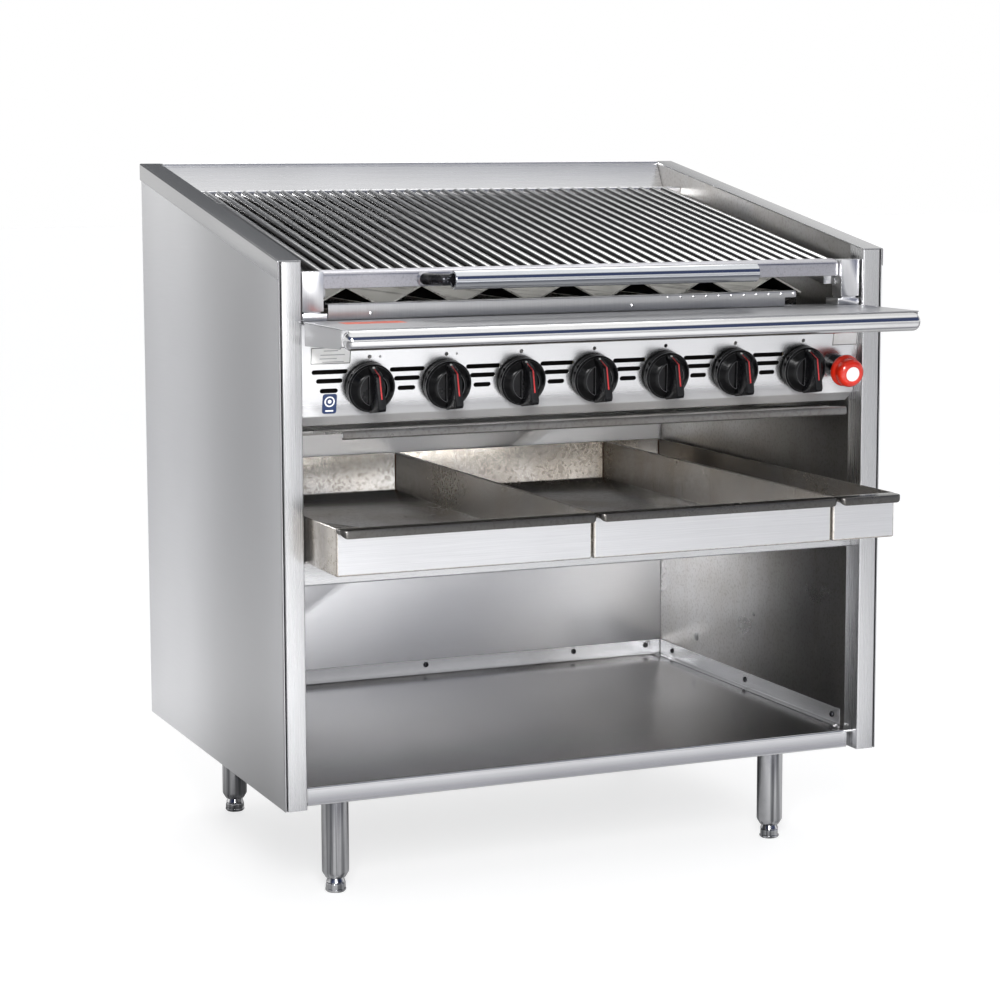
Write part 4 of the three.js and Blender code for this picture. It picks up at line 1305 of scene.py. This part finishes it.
def burners():
    """The burners, under folded radiants, each lined inside with a near-black sheet: fire blackening, and painted
    shade under the roof.
    """
    for number, x in zip(BURNERS, BURNER_X):
        low, high = span(f"radiant_{number}")
        base, half, drop = low.z + 2.4, (high.x - low.x) / 2, 31
        bar = burner(base - drop)
        make(f"burner_bar_{number}", bar.shifted(x), "iron", f"burner_{number}")
        foot, inside = half - 0.4, half - 5.2
        roof = sheet([(-foot, 0), (0, RADIANT_RIDGE), (foot, 0)], -2.5, "Y", 0, RADIANT_REACH,
                     inner=1.6)
        make(f"radiant_roof_{number}", roof.shifted(x, low.y, base), "radiant",
             f"radiant_{number}", bevel=0.5)
        # a near-black sheet inside each roof: painted shade under the roof, with fire blackening
        liner = sheet([(-inside, 0), (0, RADIANT_RIDGE - 2.9), (inside, 0)], -0.4, "Y", 1,
                      RADIANT_REACH - 1, inner=1.6)
        detail(f"radiant_soot_{number}", liner.shifted(x, low.y, base), "soot_and_shade", "radiant_steel")


def fire_rails():
    """Folded rails, which carry the ends of the burners and radiants."""
    for name, web, foot, top_y in (("front", 112, 130, None), ("rear", 558, 528, 548)):
        low, high = span(f"fire_rail_{name}")
        floor, top = low.z, high.z - SHEET
        rail = sheet([(foot, floor), (web, floor), (web, top), (top_y or low.y, top)], SHEET,
                     "X", low.x, high.x)
        make(f"rail_{name}", rail, "rail", f"fire_rail_{name}")


def riser():
    """The low wall behind the deck, with its notch, bright studs and rivets."""
    low, high = span("front_riser")
    wall = sheet([(30, low.z), (low.y, low.z), (low.y, high.z), (low.y + 12, high.z)], -SHEET,
                 "X", low.x, high.x)
    notch_x, notch_top = (301, 325), 818
    notch = block(notch_x, (low.y - 2, low.y + 8), (low.z - 1, notch_top))
    make("riser", cut(wall, notch), "riser", "front_riser")
    stud = turned([(0, -0.4), (2, -0.4), (2, 0.5), (1.2, 1.2), (0, 1.4)], 16)
    rivet = turned([(0, -0.5), (3, -0.5), (2.8, 0.8), (1.6, 1.6), (0, 1.9)], 24)
    count, pitch, forward = 11, 20, (0, -1, 0)
    detail("riser_studs", merged(
        stud.at((high.x - 4 - pitch * step, low.y, high.z - 4), forward)
        for step in range(count)), "stud")
    detail("riser_rivets", merged(
        rivet.at((x, low.y, high.z - 14), forward) for x in (60, low.x + 60)), "screw")


# ---------------------------------------------------------------- work deck


def work_deck():
    """The deck plate, with its folded cheeks."""
    low, high = span("work_deck")
    deck = sheet([(low.y, high.z), (high.y, high.z)], -SHEET, "X", low.x, high.x)
    front, back, corner = low.y + 2, -7, 9
    outline = [(back, low.z), (back, high.z - 0.2), (front, high.z - 0.2)]
    outline += arc((front + corner, low.z + 14), corner, 180, 270, 6)
    cheek = slab(outline, "X", high.x - SHEET, high.x)
    make("deck", deck.merge(cheek.paired()), "deck", "work_deck")


def deck_nose():
    """The round bar along the deck's front edge, with domed ends."""
    low, high = span("deck_nose")
    centre, radius, half, dome = (low + high) / 2, (high.z - low.z) / 2, high.x, 9.0
    profile = [(0, -half)]
    profile += [(radius * sin(math.radians(a)), -half + dome * (1 - cos(math.radians(a))))
                for a in (20, 40, 55, 70, 80, 90)]
    profile += [(r, -h) for r, h in reversed(profile)]
    bar = turned(profile, 72).at((0, centre.y, centre.z), (1, 0, 0))
    make("nose", bar, "nose", "deck_nose", bevel=0)


# ---------------------------------------------------------------- grate

BAR_COUNT = 39
BAR_RADIUS = 6.0
GRATE_DROP = 20.5  # from the top of the side panels down to the bars
CROSS_BARS = ((190, 22), (372, 22), (536, 20))  # front face and depth below the grate's top
CROSS_WIDTH, CROSS_HALF = 8, 370


def grate_top(y):
    """Height of the tops of the grate's bars."""
    return side_top(y) - GRATE_DROP


def grate():
    """Round bars on cross bars, behind a folded lip that is welded to them."""
    low, high = span("grate")
    start, end = low.y + 5, high.y - 1

    def bar_axis(y):
        return Vector((0, y, grate_top(y) - BAR_RADIUS / cos(SLOPE)))

    along = (bar_axis(end) - bar_axis(start)).normalized()
    length = (bar_axis(end) - along * BAR_RADIUS - bar_axis(start)).length
    profile = [(0, 0), (BAR_RADIUS, 0), *arc((0, length), BAR_RADIUS, 0, 90, 5)]
    bar = turned([(max(r, 0), h) for r, h in profile], 20).at(bar_axis(start), along)
    last = high.x - 5
    bar_x = [last * (2 * index / (BAR_COUNT - 1) - 1) for index in range(BAR_COUNT)]
    make("grate_bars", merged(bar.shifted(x) for x in bar_x), "bars", "grate", bevel=0)
    lip_bottom, lip_back, lip_thickness = 847, 31, 4
    lip = sheet([(low.y, lip_bottom), (low.y, grate_top(low.y) + 0.4),
                 (lip_back, grate_top(lip_back) + 0.4)], -lip_thickness, "X", low.x, high.x,
                inner=1.2)
    detail("grate_lip", lip, "lip", "polished_steel", "grate", bevel=0.5)
    cross = merged(
        block((-CROSS_HALF, CROSS_HALF), (y, y + CROSS_WIDTH),
              (grate_top(y) - depth, grate_top(y) - 2 * BAR_RADIUS + 2))
        for y, depth in CROSS_BARS)
    detail("grate_cross_bars", cross, "bars", "polished_steel", "grate", bevel=0.8)
    bead = turned([(0, -3), (2, -2.4), (3, 0), (2, 2.4), (0, 3)], 8)
    weld_y = [y + edge for y, _ in CROSS_BARS[:2] for edge in (0, CROSS_WIDTH)]
    welds = merged(
        bead.shifted(x, y, grate_top(y) - 2 * BAR_RADIUS - 0.5)
        for x in bar_x for y in weld_y if abs(x) < CROSS_HALF - 2)
    detail("grate_welds", welds, "lip", "polished_steel", "grate")


def grate_pivot():
    """The rod at the rear that the grate tips about, its lugs and the blocks beside it."""
    pivot = cabinet(JOINTS["grate_tilt"]["pos_m"])
    eye, bore, half, neck, lug_top = 9, 5.3, 4, 6, grate_top(546) - 8
    outline = arc((pivot.y, pivot.z), eye, 180, 360, 14)
    outline += [(pivot.y + neck, lug_top), (pivot.y - neck, lug_top)]
    lugs = Solid()
    for x in (-368, 0, 368):
        hole = tube([(x - 9, pivot.y, pivot.z), (x + 9, pivot.y, pivot.z)], bore, 24)
        lugs.merge(cut(slab(outline, "X", x - half, x + half), hole))
    detail("grate_lugs", lugs, "bars", "polished_steel", "grate", bevel=0.5)
    low, high = span("grate_pivot_rod")
    rod = tube([(low.x, pivot.y, pivot.z), (high.x, pivot.y, pivot.z)], 5, 28)
    make("pivot_rod", rod, "screw", "grate_pivot_rod", bevel=0.6)
    for name, _ in SIDES:
        keep(f"grate_support_{name}", "block", 0.8)


def grate_handle():
    """A bent bar, welded to the lip at both ends, and the loose sleeve on it."""
    low, high = span("grate_handle")
    radius, bend, root = 8.0, 15, high.y
    y, z = low.y + radius, (low.z + high.z) / 2
    ends = (low.x + radius, high.x - radius)
    path = [(ends[0], root, z), (ends[0], y, z), (ends[1], y, z), (ends[1], root, z)]
    bar = tube(filleted(path, bend, 8), radius, 36)
    make("handle_bar", bar, "black_bar", "grate_handle", bevel=0.5)
    ring = turned_ring([(radius - 1, 0), (radius + 2.6, 0), (radius + 1.6, 1.6),
                        (radius - 0.2, 3.2), (radius - 1, 3.2)], 36)
    beads = merged(ring.at((x, root + 0.2, z), (0, -1, 0)) for x in ends)
    detail("handle_welds", beads, "lip", "blackened_steel", "grate")
    low, high = span("handle_sleeve")
    outer, bore, rim, chamfer = (high.z - low.z) / 2, radius + 0.8, 0.9, 0.6
    sleeve = turned_ring([
        (bore + chamfer, low.x), (outer - rim, low.x), (outer, low.x + rim),
        (outer, high.x - rim), (outer - rim, high.x), (bore + chamfer, high.x),
        (bore, high.x - chamfer), (bore, low.x + chamfer)], 72)
    make("sleeve", sleeve.at((0, y, z), (1, 0, 0)), "sleeve", "handle_sleeve")


# ---------------------------------------------------------------- drip side


def drip_deflector():
    """A sheet that throws fat back into the pans, with a rolled lip along its front."""
    half = span("drip_deflector")[1].x
    lip_y, lip_z, rear_y, fall, reach, roll = -33, 663, 330, 0.09, 380, 3.5

    def top(y):
        return lip_z - fall * (y - lip_y)

    rolled = arc((lip_y + roll, 654.5), roll, 330, 180, 7)
    plate = sheet([*rolled, (lip_y, lip_z), (rear_y, top(rear_y)), (rear_y, top(rear_y) - 14)],
                  -1.4, "X", -reach, reach, inner=2.2)
    for y in (90, 290):
        back = y + 25
        ear = block((reach - 2, half), (y, back), (top(back) - 2, top(back) + 1))
        plate.merge(ear.paired())
    make("deflector", plate, "deflector", "drip_deflector")


def tray(x0, x1, y0, y1, bottom, top):
    """A folded pan with soft corners, as one shell."""
    rings, outer, inner = [], 2.6, 1.4

    def level(inset, z, radius):
        """Adds the outline at a height, drawn in by an inset."""
        outline = rounded_box(x0 + inset, x1 - inset, y0 + inset, y1 - inset, radius, 4)
        rings.append([(x, y, z) for x, y in outline])

    for inset, height in ((2.4, 0), (1.2, 0.3), (0.3, 1.2), (0, 2.4)):
        level(inset, bottom + height, outer)
    level(0, top - 0.4, outer)
    level(0.4, top, 2.4)
    level(SHEET - 0.4, top, 1.8)
    level(SHEET, top - 0.4, inner)
    for inset, height in ((SHEET, SHEET + 3), (SHEET + 0.5, SHEET + 1.2), (SHEET + 3, SHEET)):
        level(inset, bottom + height, inner)
    return loft(rings)


def lip_over(x0, x1, y0, y1, bottom, top, radius):
    """A lip turned down all round, open below, with round front corners."""
    rings = []
    corners = (radius, radius, 0.5, 0.5)
    drop = top - bottom - 2

    def lift(x):
        """How far the lower edge rises towards a rounded end."""
        reach = max(drop - min(x - x0, x1 - x), 0)
        return drop - math.sqrt(drop * drop - reach * reach)

    def level(inset, z):
        """Adds the outline at a height, drawn in by an inset."""
        outline = rounded_box(x0 + inset, x1 - inset, y0 + inset, y1 - inset,
                              tuple(max(corner - inset, 0.2) for corner in corners), 6)
        low = z < bottom + 1
        rings.append([(x, y, z + (lift(x) if low else 0)) for x, y in outline])

    level(SHEET, top - SHEET)
    level(SHEET, bottom + 0.3)
    level(SHEET - 0.4, bottom)
    level(0.4, bottom)
    level(0, bottom + 0.4)
    for inset, height in ((0, 1.6), (0.3, 0.8), (0.9, 0.25), (1.8, 0)):
        level(inset, top - height)
    return loft(rings)


def water_pans():
    """Three pans side by side, each with a bright front and a lip to pull it by."""
    for side in ("left", "middle", "right"):
        body, pan = f"water_pan_{side}", f"pan_{side}"
        low, high = span(body)
        front, lip_height = low.y + 22, 11
        shell = tray(low.x, high.x, front, high.y, low.z, high.z)
        make(pan, shell, "pan", body, bevel=0)
        edge = 2.4  # the bright face keeps clear of the pan's soft edges
        outline = rounded_box(low.x + edge, high.x - edge, low.z + edge, high.z - 2, 0.6)
        face = slab(outline, "Y", front - 0.35, front + 0.4)
        detail(f"{pan}_front", face, "pan_front", "heat_tinted_steel", body, bevel=0.2)
        lip = lip_over(low.x + 0.5, high.x - 0.5, low.y, front + 1, high.z - lip_height,
                       high.z, 9)
        detail(f"{pan}_lip", lip, "pan_lip", "heat_tinted_steel", body)
        height = high.z - low.z - 6
        seam = turned([(0, 0), (1.5, 0), (1.5, height), (0, height)], 8)
        seams = merged(
            seam.shifted(x, high.y - SHEET, low.z + 3) for x in (low.x + SHEET, high.x - SHEET))
        detail(f"{pan}_seams", seams, "rust", "heat_tinted_steel", body)


def pan_frame():
    """The channels under the pans' ends, with a runner under each joint of two pans."""
    low, high = span("pan_frame")
    channels = merged(
        sheet([(open_y, high.z), (web, high.z), (web, low.z), (open_y, low.z)], thickness, "X",
              low.x, high.x)
        for web, open_y, thickness in ((low.y, 60, SHEET), (high.y, 600, -SHEET)))
    half, runner_y = 12, (50, 612)
    for x in (-53, 316):
        channels.merge(block((x - half, x + half), runner_y, (high.z - 2, high.z)))
    make("frame_channels", channels, "sheet_x", "pan_frame")


# ---------------------------------------------------------------- studio

SKY = {  # colours by height, for three parts of the sky
    "ahead": [
        (0.0, (1.0, 1.0, 1.0)), (0.13, (0.95, 0.95, 0.97)), (0.2, (0.05, 0.07, 0.16)),
        (0.62, (0.07, 0.09, 0.17)), (0.78, (1.2, 1.2, 1.2)), (1.0, (1.1, 1.1, 1.1))],
    "behind left": [
        (0.0, (0.9, 0.9, 0.9)), (0.24, (0.9, 0.9, 0.9)), (0.36, (0.16, 0.165, 0.175)),
        (0.7, (0.2, 0.205, 0.215)), (0.85, (0.8, 0.8, 0.8)), (1.0, (1.0, 1.0, 1.0))],
    "behind": [
        (0.0, (0.9, 0.9, 0.9)), (0.12, (0.9, 0.9, 0.9)), (0.2, (0.16, 0.165, 0.175)),
        (0.48, (0.12, 0.125, 0.135)), (0.57, (2.2, 2.2, 2.2)), (1.0, (1.2, 1.2, 1.2))],
}


def sky():
    """A white sky to the camera, with a few broad tones for the steel to show."""
    world = bpy.data.worlds.new("studio")
    bpy.context.scene.world = world
    world.use_nodes = True
    nodes = Nodes(world.node_tree)
    place = nodes.node("TexCoord").outputs["Generated"]
    way = nodes.node("SeparateXYZ", {"Vector": place}).outputs

    def mixed(share, first, second):
        return nodes.blend(share, first, second, clamp=False)

    ahead, behind_left, behind = (
        nodes.ramp(way["Z"], stops, "EASE") for stops in SKY.values())
    behind = mixed(nodes.between(way["X"], 0.0, 1.0, 0.36, 0.52), behind, grey(0.85))
    behind = mixed(nodes.between(way["X"], 0.0, 1.0, 0.12, -0.02), behind, behind_left)
    shown = mixed(nodes.between(way["Y"], 0.0, 1.0, -0.35, 0.35), ahead, behind)
    seen = nodes.node("LightPath").outputs["Is Camera Ray"]
    background = nodes.node("Background", {"Color": mixed(seen, shown, grey(1.0))})
    nodes.node("OutputWorld", {"Surface": background.outputs[0]})


def soft_light(name, place, target, size, power):
    """A rectangular lamp that the camera doesn't see."""
    light = bpy.data.lights.new(name, "AREA")
    light.shape = "RECTANGLE"
    light.size, light.size_y = size
    light.energy = power
    holder = bpy.data.objects.new(name, light)
    holder.location = place
    course = Vector(target) - Vector(place)
    holder.rotation_euler = course.to_track_quat("-Z", "Y").to_euler()
    holder.visible_camera = False
    bpy.context.scene.collection.objects.link(holder)


def studio():
    """A pale floor under the sky, and soft lights."""
    bpy.ops.mesh.primitive_plane_add(size=60, location=(0, 0, 0))
    floor = bpy.context.object
    floor.name = "studio_floor"
    floor.data.materials.append(floor_paint())
    sky()
    soft_light("key", (-1.3, -3.0, 1.9), (0.2, 0.3, 0.4), (1.0, 1.0), 120)
    soft_light("fill", (-0.7, -3.2, 0.95), (0.1, 0.3, 0.5), (1.6, 1.0), 14)
    soft_light("top", (0.4, 1.4, 2.6), (0.0, 0.1, 0.9), (2.0, 0.6), 8)


CAMERA_PLACE = (-1.4781, -3.36875, 1.0292)
CAMERA_TURN = (-23.179, -6.832, -0.174)  # yaw, pitch and roll, in degrees


def camera():
    """The photograph's view: from the front left, a little above the top, looking down."""
    eye = bpy.data.cameras.new("camera")
    eye.lens = 90.56
    eye.sensor_width = 36
    eye.shift_y = -0.05
    holder = bpy.data.objects.new("camera", eye)
    yaw, pitch, roll = (math.radians(angle) for angle in CAMERA_TURN)
    ahead = Vector((-sin(yaw) * cos(pitch), cos(yaw) * cos(pitch), sin(pitch)))
    right = Vector((cos(yaw), sin(yaw), 0))
    up = right.cross(ahead)
    across = right * cos(roll) + up * sin(roll)
    upright = up * cos(roll) - right * sin(roll)
    matrix = Matrix((across, upright, -ahead)).transposed().to_4x4()
    matrix.translation = CAMERA_PLACE
    holder.matrix_world = matrix
    bpy.context.scene.collection.objects.link(holder)
    bpy.context.scene.camera = holder
    bpy.context.scene.view_settings.view_transform = "Standard"


camera()
studio()
side_panels()
top_caps()
rear()
back_fittings()
bottom_shelf()
legs()
control_panel()
knobs()
safety()
labels()
gas_manifold()
gas_valves()
burners()
fire_rails()
riser()
work_deck()
deck_nose()
grate()
grate_pivot()
grate_handle()
drip_deflector()
water_pans()
pan_frame()
